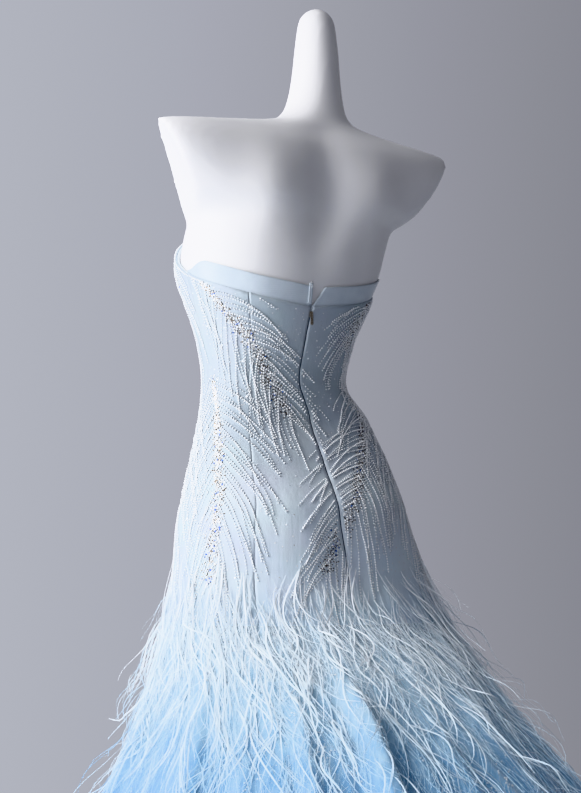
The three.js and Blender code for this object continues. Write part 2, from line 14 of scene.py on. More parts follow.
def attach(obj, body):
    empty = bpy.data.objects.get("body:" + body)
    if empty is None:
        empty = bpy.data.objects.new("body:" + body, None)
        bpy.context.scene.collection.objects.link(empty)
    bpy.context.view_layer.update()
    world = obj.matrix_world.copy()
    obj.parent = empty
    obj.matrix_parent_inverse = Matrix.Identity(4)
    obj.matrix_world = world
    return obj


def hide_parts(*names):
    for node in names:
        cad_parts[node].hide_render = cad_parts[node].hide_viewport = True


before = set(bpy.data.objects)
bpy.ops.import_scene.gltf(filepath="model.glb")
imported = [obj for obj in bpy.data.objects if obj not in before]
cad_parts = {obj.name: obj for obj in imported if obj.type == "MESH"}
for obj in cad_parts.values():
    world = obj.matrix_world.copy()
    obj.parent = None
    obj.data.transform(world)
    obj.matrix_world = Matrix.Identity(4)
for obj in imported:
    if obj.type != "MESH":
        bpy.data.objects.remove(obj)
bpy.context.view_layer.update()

GOWN = "gown_on_stand"

# ---- sizes, as in the solids ---------------------------------------------------------------------

HEM_Z = 4
HIP_SEAM_Z = 690
ZIP_END_Z = 742
ZIP_TAPE_END_Z, ZIP_TAPE_TOP_Z = 718, 1154.6
ZIP_COIL_TOP_Z = 1148
CLOTH = 1.6
SKIRT_CLOTH = 2
TRIM_CLOTH = 1.2
SEWN_GAP = 0.06  # between two sewn panels, drawn nearly shut
BODICE_ROLL, SKIRT_ROLL = 0.09, 0.3  # how far a panel's edge turns in at a seam
CLOSE_ROW = 0.6  # from an edge to the row that keeps its shading narrow
FACING_GAP = 0.5
FORM_INSET = 5
ZIP_OPENING = 1.8
ZIP_TAPE_WIDTH = 13

# height: half width, front depth, back depth, centre x, centre y, squareness
SECTIONS = [
    (0, 560, 345, 850, -74, 48, 2),
    (110, 512, 302, 755, -74, 48, 2),
    (220, 456, 256, 652, -72, 46, 2),
    (330, 400, 218, 540, -68, 42, 2),
    (430, 345, 190, 432, -62, 36, 2),
    (520, 297, 168, 336, -57, 30, 2),
    (610, 257, 150, 244, -52, 22, 2.1),
    (690, 226, 139, 162, -43, 14, 2.2),
    (770, 203, 132, 134, -36, 8, 2.3),
    (850, 182, 124, 136, -24, 5, 2.3),
    (930, 162, 108, 100, -23, 0, 2.35),
    (1000, 139, 96, 74, -17, -5, 2.35),
    (1060, 115, 91, 77, 0, -10, 2.25),
    (1120, 125, 96, 96, -1, -10, 2.2),
    (1180, 146, 110, 112, -4, -6, 2.3),
    (1250, 168, 126, 120, -9, 0, 2.3),
    (1300, 170, 118, 116, -15, 10, 2.4),
    (1335, 214, 94, 104, -17, 24, 2.4),
    (1385, 258, 64, 82, -17, 44, 2.4),
    (1418, 272, 50, 62, -18, 54, 2.3),
    (1434, 256, 40, 50, -20, 55, 2.2),
    (1443, 196, 42, 46, -28, 52, 2.1),
    (1453, 118, 44, 46, -36, 48, 2),
    (1466, 68, 44, 48, -39, 41, 2),
    (1486, 50, 42, 44, -41, 43, 2),
    (1530, 40, 39, 39, -42, 46, 2),
    (1590, 34, 34, 34, -42, 48, 2),
    (1632, 28, 28, 28, -42, 48, 2),
    (1648, 16, 16, 16, -42, 48, 2),
]

# side of the body (1 front, -1 back), x from the section's centre, height, swell, across, up
SWELLINGS = [
    (1, 92, 1246, 46, 50, 56),
    (1, -92, 1246, 46, 50, 56),
    (-1, 92, 1338, 12, 46, 62),
    (-1, -92, 1338, 12, 46, 62),
    (-1, 0, 1335, -12, 30, 90),
    (-1, 66, 800, 9, 60, 80),
    (-1, -66, 800, 9, 60, 80),
]
CUPS = SWELLINGS[:2]

# turn and height of the bodice's top edge, the same on both sides
NECKLINE = [
    (0, 1236), (18, 1258), (38, 1292), (56, 1274), (76, 1238),
    (96, 1210), (122, 1191), (152, 1174), (180, 1164),
]

# The skirt's main folds: turn of the crest, half width in degrees, depth at the hem, start height.
MAIN_FOLDS = [
    (6, 12, 34, 560), (30, 12, 42, 590), (52, 11, 36, 560), (73, 11, 44, 600), (93, 10, 38, 600),
    (112, 10, 50, 630), (130, 8, 36, 560), (146, 9, 44, 600), (160, 8, 62, 650), (176, 9, 46, 580),
    (191, 8, 56, 640), (206, 9, 44, 580), (223, 9, 54, 620), (241, 10, 42, 570), (261, 11, 48, 610),
    (283, 12, 38, 570), (307, 12, 42, 590), (331, 13, 36, 570),
]

# Smaller folds of the tulle that run between the main ones, uneven as gathers fall.
SMALL_FOLDS = [
    (17, 3.4, 13, 520), (23, 2.6, 9, 440), (41, 3.2, 14, 560), (47, 2.4, 9, 400), (62, 3.4, 15, 500),
    (81, 2.8, 12, 560), (87, 2.4, 8, 380), (102, 3.0, 14, 590), (106, 2.2, 9, 460), (121, 2.6, 13, 600),
    (125, 2.0, 8, 520), (137, 2.4, 13, 610), (141, 2.0, 9, 560), (152, 2.2, 14, 640), (155, 1.8, 8, 580),
    (165, 1.9, 12, 650), (169, 2.4, 15, 600), (182, 2.0, 13, 630), (186, 2.2, 9, 560), (196, 1.9, 12, 650),
    (200, 2.4, 15, 580), (212, 2.2, 12, 620), (217, 2.4, 9, 520), (229, 2.2, 14, 590), (234, 2.8, 10, 520),
    (249, 3.0, 13, 560), (254, 2.4, 8, 420), (271, 3.2, 14, 540), (277, 2.6, 9, 430), (292, 3.2, 13, 520),
    (299, 2.6, 9, 420), (317, 3.4, 14, 540), (323, 2.6, 8, 400), (343, 3.6, 14, 500), (352, 2.8, 9, 420),
]

# Drag lines of the fitted cloth, each a soft ridge or trough between two places, listed one by one:
# turn and height of both ends, half width and height out in millimetres.
DRAG_LINES = [
    (150, 1046, 172, 1036, 5, -1.1), (186, 1058, 214, 1040, 6, 1.3), (188, 1030, 222, 1000, 7, -1.4),
    (192, 1006, 216, 966, 7, 1.2), (196, 962, 212, 920, 6, -1.0), (130, 1060, 158, 1052, 6, 1.0),
    (96, 1066, 126, 1050, 7, -1.1), (70, 1052, 98, 1060, 7, 1.0), (262, 1050, 236, 1062, 7, 1.1),
    (290, 1060, 266, 1046, 7, -1.0), (12, 1046, 34, 1060, 7, 1.0), (348, 1044, 326, 1058, 7, -1.0),
    (140, 960, 144, 860, 9, 1.0), (152, 900, 150, 800, 8, -1.1), (132, 860, 136, 760, 9, 0.9),
    (166, 860, 164, 770, 8, 1.0), (180.5, 1022, 203, 1024, 1.6, -1.3), (206, 850, 212, 750, 9, -1.1),
    (224, 900, 230, 790, 10, 1.0), (100, 900, 104, 780, 10, -0.9), (78, 880, 80, 760, 10, 0.9),
    (20, 900, 22, 780, 11, 0.9), (340, 880, 338, 770, 11, -0.9), (276, 900, 280, 780, 10, 0.9),
    (300, 860, 304, 750, 10, -0.9),
]

# Flaps of tulle that start suddenly under the feathers, each gentle on one side and steep on the
# other: turn of the crest, degrees before it, degrees after it, height, start height.
FLAPS = [
    (11, 6.0, 2.4, 9, 590), (37, 6.4, 2.8, 10, 630), (48, 2.6, 5.0, 4, 560), (63, 7.0, 2.6, 11, 640),
    (79, 2.6, 6.0, 6, 580), (91, 5.4, 2.2, 10, 620), (103, 4.0, 2.6, 4, 560), (114, 6.4, 2.2, 9, 630),
    (127, 5.0, 2.4, 5, 590), (137, 3.6, 1.8, 4, 560), (145, 5.6, 2.0, 9, 640), (162, 6.0, 1.6, 20, 655),
    (171, 3.0, 2.0, 4, 570), (181, 5.4, 2.0, 8, 610), (190, 3.0, 2.2, 4, 560), (199, 6.4, 1.9, 13, 640),
    (214, 5.4, 2.4, 6, 600), (227, 6.6, 2.2, 11, 630), (240, 3.4, 4.0, 4, 560), (252, 6.2, 2.4, 9, 620),
    (270, 2.6, 6.4, 7, 580), (284, 6.6, 2.6, 10, 635), (301, 3.2, 5.4, 5, 560), (315, 6.4, 2.6, 9, 610),
    (334, 2.8, 6.0, 7, 590), (349, 5.6, 2.4, 8, 570),
]

# The sheer top layer's own folds, as uneven as the ones below it.
VEIL_FOLDS = [
    (3, 5.0, 16, 560), (12, 3.6, 20, 600), (20, 3.0, 12, 520), (34, 4.2, 18, 600), (44, 3.4, 16, 540),
    (56, 4.4, 20, 610), (66, 3.0, 12, 520), (77, 4.4, 20, 600), (90, 3.6, 16, 560), (98, 2.8, 14, 600),
    (109, 4.0, 20, 640), (117, 2.8, 12, 560), (127, 3.2, 18, 620), (134, 2.6, 12, 560), (143, 3.0, 18, 640),
    (149, 2.2, 12, 600), (157, 2.8, 20, 660), (163, 2.0, 12, 620), (172, 3.0, 18, 640), (179, 2.2, 12, 600),
    (188, 3.0, 20, 650), (194, 2.2, 12, 600), (203, 3.0, 18, 640), (209, 2.4, 12, 580), (220, 3.2, 18, 630),
    (226, 2.4, 12, 560), (237, 3.6, 20, 620), (246, 3.0, 14, 560), (258, 4.0, 20, 610), (267, 3.2, 14, 540),
    (279, 4.2, 20, 600), (288, 3.2, 14, 520), (303, 4.2, 18, 600), (313, 3.2, 14, 520), (327, 4.4, 18, 600),
    (338, 3.4, 14, 520), (348, 4.2, 18, 580),
]
VEIL_TOP_Z = 689
# clear of the tulle at its top edge, how much more lower down, and over what height
VEIL_CLEAR, VEIL_LIFT, VEIL_LIFT_RISE = 0.5, 6, 300

BODICE_PANELS = [
    ("bodice_front", -34, 34),
    ("bodice_side_front_left", 34, 88),
    ("bodice_side_back_left", 88, 140),
    ("bodice_back_left", 140, 180),
    ("bodice_back_right", 180, 220),
    ("bodice_side_back_right", 220, 272),
    ("bodice_side_front_right", 272, 326),
]
SKIRT_PANELS = [
    ("skirt_front", -52, 52),
    ("skirt_side_left", 52, 121),
    ("skirt_back_left", 121, 180),
    ("skirt_back_right", 180, 239),
    ("skirt_side_right", 239, 308),
]

FACING_ABOVE, FACING_BELOW = 30, 9
FACING_SPLAY = {"left": 5, "right": 24}
HOOK_TAB_WIDTH, HOOK_TAB_HEIGHT = 8, 31
FACING_TAPER = 22  # degrees over which its end comes down to the bodice's edge
SIDE_SEAM = 88
FORM_BOTTOM_Z, FORM_CROWN_Z, FORM_TOP_Z = 770, 1648, 1653
CUP_PAD = 0.22
# an arm's flat end: x from the body's middle and height of its top and of its low end, its middle,
# its turn to the front in degrees, and how far below the low end the cut goes on
ARM_TOP, ARM_LOW, ARM_CENTRE = (246, 1428), (179, 1306), (-17, 50)
ARM_TURN, ARM_BELOW = 15, 5

# ---- the surface that every cloth piece lies on ----------------------------------------------------


def curve_of(rows):
    """A smooth curve through rows of (x, y) that never overshoots them."""
    xs, ys = np.array(rows, float).T
    slopes = np.diff(ys) / np.diff(xs)
    before, after = np.append(slopes[:1], slopes), np.append(slopes, slopes[-1:])
    total = np.where(before + after == 0, 1, before + after)
    tangents = np.where(before * after <= 0, 0, 2 * before * after / total)

    def at(x):
        x = np.clip(x, xs[0], xs[-1])
        k = np.clip(np.searchsorted(xs, x, side="right") - 1, 0, len(xs) - 2)
        span = xs[k + 1] - xs[k]
        t = (x - xs[k]) / span
        s = 1 - t
        return (
            ys[k] * (1 + 2 * t) * s * s
            + ys[k + 1] * (3 - 2 * t) * t * t
            + (tangents[k] * s - tangents[k + 1] * t) * t * s * span
        )

    return at


half_at, front_at, back_at, centre_x_at, centre_y_at, power_at = (
    curve_of([(row[0], row[k]) for row in SECTIONS]) for k in range(1, 7)
)
neckline_curve = curve_of(NECKLINE)


def neckline_z(turn):
    turn = np.mod(turn, 360)
    return neckline_curve(np.where(turn > 180, 360 - turn, turn))


def off_by(turn, crest):
    """Degrees from a crest to a turn, the short way round."""
    return np.mod(turn - crest + 180, 360) - 180


def bulge(away):
    """1 at a crest, and 0 from its foot on."""
    return np.where(away < 1, np.cos(np.clip(away, 0, 1) * math.pi / 2), 0)


def fold_out(folds, turn, z):
    """How far folds stand out. Each grows from its start height down to the hem."""
    out = np.zeros(np.broadcast(turn, z).shape)
    for crest, spread, depth, top in folds:
        grown = np.clip((top - z) / top, 0, None) ** 1.15
        out += depth * grown * bulge(np.abs(off_by(turn, crest)) / spread) ** 2
    return out


def swelling_out(rows, side, x, z):
    return sum(
        np.where(side == face, height * np.exp(-(((x - at) / across) ** 2) - ((z - level) / up) ** 2), 0)
        for face, at, level, height, across, up in rows
    )


def surface_at(turn, z):
    """The solids' outer face: the body's rounded section at a height, its swellings and the main folds."""
    turn, z = np.broadcast_arrays(np.asarray(turn, float), np.asarray(z, float))
    sine, cosine = np.sin(np.radians(turn)), np.cos(np.radians(turn))
    half, power = half_at(z), 2 / power_at(z)
    side = np.where(cosine > 0, 1, -1)
    depth = np.where(cosine > 0, front_at(z), back_at(z))
    x = half * np.sign(sine) * np.abs(sine) ** power
    y = -depth * np.sign(cosine) * np.abs(cosine) ** power
    swell = swelling_out(SWELLINGS, side, x, z) * np.minimum(1, np.abs(cosine) * 3)
    across = np.stack([sine / half, -cosine / depth], -1)
    across /= np.linalg.norm(across, axis=-1, keepdims=True)
    out = fold_out(MAIN_FOLDS, turn, z)
    x = centre_x_at(z) + x + out * across[..., 0]
    y = centre_y_at(z) + y - side * swell + out * across[..., 1]
    return np.stack([x, y, z], -1)


def unit(vectors):
    return vectors / np.maximum(np.linalg.norm(vectors, axis=-1, keepdims=True), 1e-9)


def outward_at(turn, z):
    along = surface_at(turn + 0.5, z) - surface_at(turn - 0.5, z)
    up = surface_at(turn, z + 3) - surface_at(turn, z - 3)
    return unit(np.cross(along, up))


def per_degree_at(turn, z):
    """Millimetres along the surface in a degree of turn."""
    return np.linalg.norm(surface_at(turn + 0.5, z) - surface_at(turn - 0.5, z), axis=-1)


def per_height_at(turn, z):
    """Millimetres along the surface in a millimetre of height."""
    return np.linalg.norm(surface_at(turn, z + 3) - surface_at(turn, z - 3), axis=-1) / 6


def drag_out(turn, z):
    """How far the drag lines stand out of the fitted cloth."""
    out = np.zeros(np.broadcast(turn, z).shape)
    for turn_a, z_a, turn_b, z_b, spread, height in DRAG_LINES:
        scale = 2.4 + 0.004 * max(0, 1000 - (z_a + z_b) / 2)
        ax, bx = turn_a * scale, turn_b * scale
        x = (off_by(turn, turn_a) + turn_a) * scale
        length = math.hypot(bx - ax, z_b - z_a)
        along = ((x - ax) * (bx - ax) + (z - z_a) * (z_b - z_a)) / length**2
        aside = ((x - ax) * (z_b - z_a) - (z - z_a) * (bx - ax)) / length
        out += height * np.exp(-((aside / spread) ** 2)) * np.sin(np.clip(along, 0, 1) * math.pi)
    return out


def flap_out(turn, z):
    """How far the flaps of tulle stand out, wavering a little on their way down."""
    out = np.zeros(np.broadcast(turn, z).shape)
    for number, (crest, before, after, height, top) in enumerate(FLAPS):
        off = off_by(turn, crest + 0.9 * np.sin(z / 70 + number))
        grown = np.clip((top - z) / 90, 0, 1) ** 1.3
        out = np.maximum(out, height * grown * bulge(np.where(off < 0, -off / before, off / after)) ** 1.6)
    return out


def cloth_at(turn, z, out=0.0):
    """The finished cloth's outer face, with its small folds, moved out by some millimetres."""
    turn, z = np.broadcast_arrays(np.asarray(turn, float), np.asarray(z, float))
    detail = np.maximum(fold_out(SMALL_FOLDS, turn, z), flap_out(turn, z)) + drag_out(turn, z)
    return surface_at(turn, z) + outward_at(turn, z) * (detail + out)[..., None]


# ---- meshes ----------------------------------------------------------------------------------------


def put_in_scene(name, data):
    thing = bpy.data.objects.new(name, data)
    bpy.context.scene.collection.objects.link(thing)
    return thing


def mesh_piece(name, points, face_sets, finish, slot, node=None, smooth=True):
    """A mesh object from points in millimetres and arrays of faces, each array of one corner count.

    slot is not used, and node is the solid that it stands for."""
    mesh = bpy.data.meshes.new(name)
    points = np.asarray(points, np.float32).reshape(-1, 3) / 1000
    mesh.vertices.add(len(points))
    mesh.vertices.foreach_set("co", points.ravel())
    corners = np.concatenate([np.asarray(f).ravel() for f in face_sets]).astype(np.int32)
    counts = np.concatenate([np.full(len(f), np.asarray(f).shape[1]) for f in face_sets])
    mesh.loops.add(len(corners))
    mesh.loops.foreach_set("vertex_index", corners)
    mesh.polygons.add(len(counts))
    mesh.polygons.foreach_set("loop_start", (np.cumsum(counts) - counts).astype(np.int32))
    mesh.polygons.foreach_set("use_smooth", np.full(len(counts), smooth))
    mesh.update(calc_edges=True)
    mesh.validate()
    mesh.materials.append(finish)
    piece = put_in_scene(name, mesh)
    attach(piece, GOWN)
    if node:
        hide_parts(node)
    return piece


def numbered(columns, rows):
    """The numbers of a grid's points, which are stored column by column."""
    return np.arange(columns * rows).reshape(columns, rows)


def grid_faces(columns, rows, start=0, flip=False):
    """Quads between the points of a grid."""
    a = start + numbered(columns, rows)[:-1, :-1]
    quads = np.stack([a, a + rows, a + rows + 1, a + 1], -1).reshape(-1, 4)
    return quads[:, ::-1] if flip else quads


def cloth_shell(name, outer, inner, finish, slot, node):
    """A thin closed cloth between two grids of points, each (columns, rows, 3)."""
    columns, rows = outer.shape[:2]
    at, count = numbered(columns, rows), columns * rows
    rim = np.concatenate([at[:, 0], at[-1, 1:], at[-2::-1, -1], at[0, -2:0:-1]])
    after = np.roll(rim, -1)
    sides = np.stack([rim, rim + count, after + count, after], -1)
    faces = [grid_faces(columns, rows), grid_faces(columns, rows, count, True), sides]
    return mesh_piece(name, np.stack([outer, inner]), faces, finish, slot, node)


def rings_of(first, second, sides):
    """Unit circles of points, one in the plane of each pair of directions."""
    angle = np.arange(sides) * 2 * math.pi / sides
    return first[:, None] * np.cos(angle)[None, :, None] + second[:, None] * np.sin(angle)[None, :, None]


def tube(path, radius, sides=6):
    """A round bar along a path of points in millimetres."""
    along = unit(np.gradient(path, axis=0))
    away = unit(np.cross(along, np.array([0.31, 0.17, 0.93])))
    points = path[:, None] + rings_of(away, np.cross(along, away), sides) * radius
    a = numbered(len(path), sides)
    b = np.roll(a, -1, 1)
    return points.reshape(-1, 3), np.stack([a, b, b + sides, a + sides], -1)[:-1].reshape(-1, 4)


# ---- finishes --------------------------------------------------------------------------------------


def linear(code, alpha=1.0):
    """A linear colour from an sRGB hex value."""
    channels = [int(code[k : k + 2], 16) / 255 for k in (1, 3, 5)]
    return (*[c / 12.92 if c <= 0.04045 else ((c + 0.055) / 1.055) ** 2.4 for c in channels], alpha)


def add_node(tree, kind, settings=(), links=()):
    """Adds a node, sets its properties and sockets, and links its inputs from other sockets."""
    node = tree.nodes.new(kind)
    for key, value in dict(settings).items():
        if key == "ramp":
            for k, (place, code) in enumerate(value):
                stop = node.color_ramp.elements[k] if k < 2 else node.color_ramp.elements.new(place)
                stop.position, stop.color = place, linear(code)
        elif isinstance(key, int) or key in node.inputs:
            node.inputs[key].default_value = value
        else:
            setattr(node, key, value)
    for key, source in dict(links).items():
        tree.links.new(source, node.inputs[key])
    return node


def patterned_finish(name, colours, patterns, tone=1.0, by_height=False, relief=(), sockets=()):
    """A material that runs through a ramp of colours by its first pattern, by height in metres or by both.

    A pattern is a texture's kind, its output, its squeeze upwards and its settings, and is placed in
    the object's own metres. A row of relief is a pattern's number, its strength and its depth in metres."""
    finish = bpy.data.materials.new(name)
    finish.use_nodes = True
    tree = finish.node_tree
    shader = tree.nodes["Principled BSDF"]
    places = add_node(tree, "ShaderNodeTexCoord").outputs["Object"]
    drawn = []
    for kind, output, squeeze, settings in patterns:
        at = places
        if squeeze != 1:
            squeezed = {"Scale": (1, 1, squeeze)}
            at = add_node(tree, "ShaderNodeMapping", squeezed, {"Vector": places}).outputs[0]
        drawn.append(add_node(tree, kind, settings, {"Vector": at}).outputs[output])
    if by_height:
        share = add_node(tree, "ShaderNodeSeparateXYZ", links={"Vector": places}).outputs["Z"]
        if tone:
            sum_of = {"operation": "MULTIPLY_ADD", 1: tone}
            share = add_node(tree, "ShaderNodeMath", sum_of, {0: drawn[0], 2: share}).outputs[0]
    else:
        share = drawn[0]
    colour = add_node(tree, "ShaderNodeValToRGB", {"ramp": colours}, {"Fac": share}).outputs["Color"]
    tree.links.new(colour, shader.inputs["Base Color"])
    links = {}
    for number, strength, depth in relief:
        links["Height"] = drawn[number]
        bump = add_node(tree, "ShaderNodeBump", {"Strength": strength, "Distance": depth}, links)
        links["Normal"] = bump.outputs["Normal"]
    if relief:
        tree.links.new(links["Normal"], shader.inputs["Normal"])
    for socket, value in dict(sockets).items():
        shader.inputs[socket].default_value = value
    return finish, tree, shader, colour, drawn


NOISE, CELLS, WAVE = "ShaderNodeTexNoise", "ShaderNodeTexVoronoi", "ShaderNodeTexWave"


def duchess_satin_under_tulle():
    """Polyester satin, woven close, under one layer of nylon net.

    It gives a frosted soft shine, bluer towards the hip, and is greyer and darker towards the top, which is
    painted shade."""
    finish, tree, shader, colour, (cloud, crinkle, _) = patterned_finish(
        "duchess_satin_under_tulle",
        # greyer and darker from about 0.8 m up: painted shade on the upper bodice
        [(0.66, "#bcd6e9"), (1.0, "#abb6bf"), (0.74, "#cddbe5"), (0.88, "#c6d1d9")],
        [
            # cloth shade, uneven over some 60 mm
            (NOISE, "Color", 1, {"Scale": 16, "Detail": 3}),
            # crinkles of the net run up the body, 7 mm apart
            (NOISE, "Fac", 0.12, {"Scale": 140, "Detail": 4}),
            # the net's real mesh is 1.2 mm, drawn at 2.4 mm so that it shows
            (CELLS, "Distance", 1, {"feature": "DISTANCE_TO_EDGE", "Scale": 1000 / 2.4}),
        ],
        tone=0,
        by_height=True,
        relief=[(1, 0.35, 0.0016), (2, 0.25, 0.0005)],
        sockets={"IOR": 1.5, "Sheen Weight": 0.35, "Sheen Roughness": 0.4},
    )
    multiplied = {"data_type": "RGBA", "blend_type": "MULTIPLY", 0: 0.10}
    shade = add_node(tree, "ShaderNodeMix", multiplied, {6: colour, 7: cloud})
    tree.links.new(shade.outputs[2], shader.inputs["Base Color"])
    gloss = add_node(tree, "ShaderNodeMapRange", {"To Min": 0.34, "To Max": 0.52}, {"Value": crinkle})
    tree.links.new(gloss.outputs["Result"], shader.inputs["Roughness"])
    return finish


def dyed_tulle():
    """Soft nylon tulle in several layers, dip dyed: pale at the hip and deeper blue to the hem.

    Fine crinkles run down each layer, and the pile of layers has a matt bloom."""
    return patterned_finish(
        "dyed_tulle",
        [(0.15, "#4397cf"), (0.81, "#cbdfeb"), (0.47, "#2b7db5"), (0.62, "#4b93c1"), (0.72, "#aecfe2")],
        [(NOISE, "Fac", 0.08, {"Scale": 46, "Detail": 5}), (NOISE, "Fac", 0.08, {"Scale": 120, "Detail": 4})],
        tone=0.26,
        by_height=True,
        relief=[(0, 0.6, 0.004), (1, 0.4, 0.0015)],
        sockets={"Roughness": 0.62, "IOR": 1.5, "Sheen Weight": 0.4, "Sheen Roughness": 0.5},
    )[0]


def sheer_net():
    """One layer of dyed nylon net, so open that the layer below shows through its faint bloom."""
    return patterned_finish(
        "sheer_net",
        [(0.05, "#7db4de"), (0.69, "#d4e6f1"), (0.3, "#8cbfe2"), (0.52, "#b3d3e8")],
        [(NOISE, "Fac", 0.07, {"Scale": 90, "Detail": 4})],
        tone=0,
        by_height=True,
        relief=[(0, 0.6, 0.003)],
        sockets={"Roughness": 0.6, "Sheen Weight": 0.5, "Alpha": 0.3},
    )[0]


def ostrich_feather(name, low, middle, high, top):
    """Ostrich plume, stripped and curled: soft matt flues, white at the top and tinted blue lower down."""
    return patterned_finish(
        name,
        [(0.46, low), (0.88, top), (0.62, middle), (0.74, high)],
        # plumes differ in tint over some 40 mm
        [(NOISE, "Fac", 1, {"Scale": 24, "Detail": 2})],
        tone=0.22,
        by_height=True,
        sockets={"Roughness": 0.7, "Sheen Weight": 0.6, "Sheen Roughness": 0.5},
    )[0]


def facing_satin():
    """The same satin, bare, over a stiffener: plain, smooth and a little darker than the netted cloth."""
    return patterned_finish(
        "facing_satin",
        [(0.3, "#bcc7d0"), (0.7, "#c8d2d9")],
        [
            (NOISE, "Fac", 1, {"Scale": 40, "Detail": 3}),
            # satin floats, 0.5 mm apart in the real cloth, drawn at 1.5 mm
            (WAVE, "Fac", 1, {"bands_direction": "Z", "Scale": 1000 / 1.5 / 6.3}),
        ],
        relief=[(1, 0.15, 0.0003)],
        sockets={"Roughness": 0.4, "Sheen Weight": 0.3},
    )[0]


def painted_glass_fibre():
    """A dress form's shell of glass fibre, sanded and sprayed satin white.

    It gives soft broad highlights and a very slight orange peel."""
    return patterned_finish(
        "painted_glass_fibre",
        [(0.3, "#dcdbdb"), (0.7, "#e3e2e1")],
        [(NOISE, "Fac", 1, {"Scale": 9, "Detail": 2}), (NOISE, "Fac", 1, {"Scale": 420, "Detail": 2})],
        relief=[(1, 0.08, 0.0004)],
        sockets={"Roughness": 0.48, "IOR": 1.5},
    )[0]


def grained_finish(name, low, high, roughness, metallic=0.0, grain_mm=1.0, coat=0.0):
    """A small part's finish: two close shades in a fine grain, with a gloss of its own."""
    return patterned_finish(
        name,
        [(0.35, low), (0.65, high)],
        [(NOISE, "Fac", 1, {"Scale": 1000 / grain_mm, "Detail": 2})],
        sockets={"Roughness": roughness, "Metallic": metallic, "Coat Weight": coat},
    )[0]


SATIN = duchess_satin_under_tulle()
TULLE = dyed_tulle()
SHEER = sheer_net()
PLUME = ostrich_feather("ostrich_feather_curls", "#b9ddf3", "#d8ebf7", "#ebf4f9", "#f4f8fb")
DOWN = ostrich_feather("ostrich_feather_down", "#86c3e8", "#c3e1f2", "#e0edf5", "#e8f0f5")
FACING = facing_satin()
FORM = painted_glass_fibre()
# cotton cover of the foam cups, plain woven and matt, drawn at 1.2 mm for its 0.4 mm threads
LINING = grained_finish("cotton_cup_cover", "#d9e1e7", "#e6edf1", 0.8, grain_mm=1.2)
# woven polyester tape, matt slate blue
TAPE = grained_finish("woven_zip_tape", "#56657f", "#65758f", 0.8, grain_mm=0.8)
# nylon coil, moulded, darker than its tape with a slight shine
COIL = grained_finish("nylon_zip_coil", "#3b465c", "#4b5870", 0.45, grain_mm=2)
# zinc alloy with an antique bronze plating, in two close shades
BRONZE = grained_finish("bronze_plated_zinc", "#857d72", "#b3aca0", 0.34, 0.8, grain_mm=1.5)
# glass seed beads with a pearl lustre: nearly white, and glossy
PEARL = grained_finish("pearl_lustre_glass", "#f4f8fa", "#ffffff", 0.3, 0.0, grain_mm=6, coat=0.5)
# glass seed beads lined with silver: they take the room's light and dark
SILVER = grained_finish("silver_lined_glass", "#d3d8da", "#ffffff", 0.3, 0.3, grain_mm=5)
# foil-backed cut glass, clear, in smoky champagne and in sapphire: small sharp glints
CLEAR = grained_finish("foiled_clear_crystal", "#dde3e8", "#ffffff", 0.12, 0.25, grain_mm=4)
CHAMPAGNE = grained_finish("foiled_champagne_crystal", "#4f4943", "#8d806f", 0.2, 0.5, grain_mm=4)
SAPPHIRE = grained_finish("foiled_sapphire_crystal", "#2b4f9e", "#5583cf", 0.14, 0.4, grain_mm=4)
# stainless tube and spun plate, finely brushed: it takes the room softly
STEEL = grained_finish("brushed_steel", "#b9bcc0", "#d5d8db", 0.28, 1.0, grain_mm=3)

# ---- the dress form --------------------------------------------------------------------------------


def form_face(turn, z, out):
    """The dress form's face, moved out, at a turn and a height."""
    points = surface_at(turn, z)
    inset = FORM_INSET * np.clip((1330 - z) / 30, 0, 1)
    side = np.where(np.cos(np.radians(turn)) > 0, 1, -1)
    inset = inset + CUP_PAD * swelling_out(CUPS, side, points[..., 0] - centre_x_at(z), z)
    inward = outward_at(turn, z)
    inward[..., 2] = 0
    return points - unit(inward) * (inset - out)[..., None]


def arm_cutter(side):
    """A block beyond an arm's flat end, which slants in to the armpit and turns a little to the front."""
    (top_x, top_z), (low_x, low_z), (x, y) = ARM_TOP, ARM_LOW, ARM_CENTRE
    across, rise = top_x - low_x, top_z - low_z
    foot = math.hypot(across, rise) / 2 + ARM_BELOW
    block = bmesh.new()
    bmesh.ops.create_cube(block, size=400)
    bmesh.ops.translate(block, verts=block.verts, vec=(side * 200, 0, 200 - foot))
    placed = (
        Matrix.Translation((x + side * (top_x + low_x) / 2, y, low_z + rise / 2))
        @ Matrix.Rotation(-side * math.radians(ARM_TURN), 4, "Z")
        @ Matrix.Rotation(side * math.atan2(across, rise), 4, "Y")
    )
    block.transform(Matrix.Scale(0.001, 4) @ placed)
    mesh = bpy.data.meshes.new("arm_cutter")
    block.to_mesh(mesh)
    block.free()
    return put_in_scene("arm_cutter", mesh)


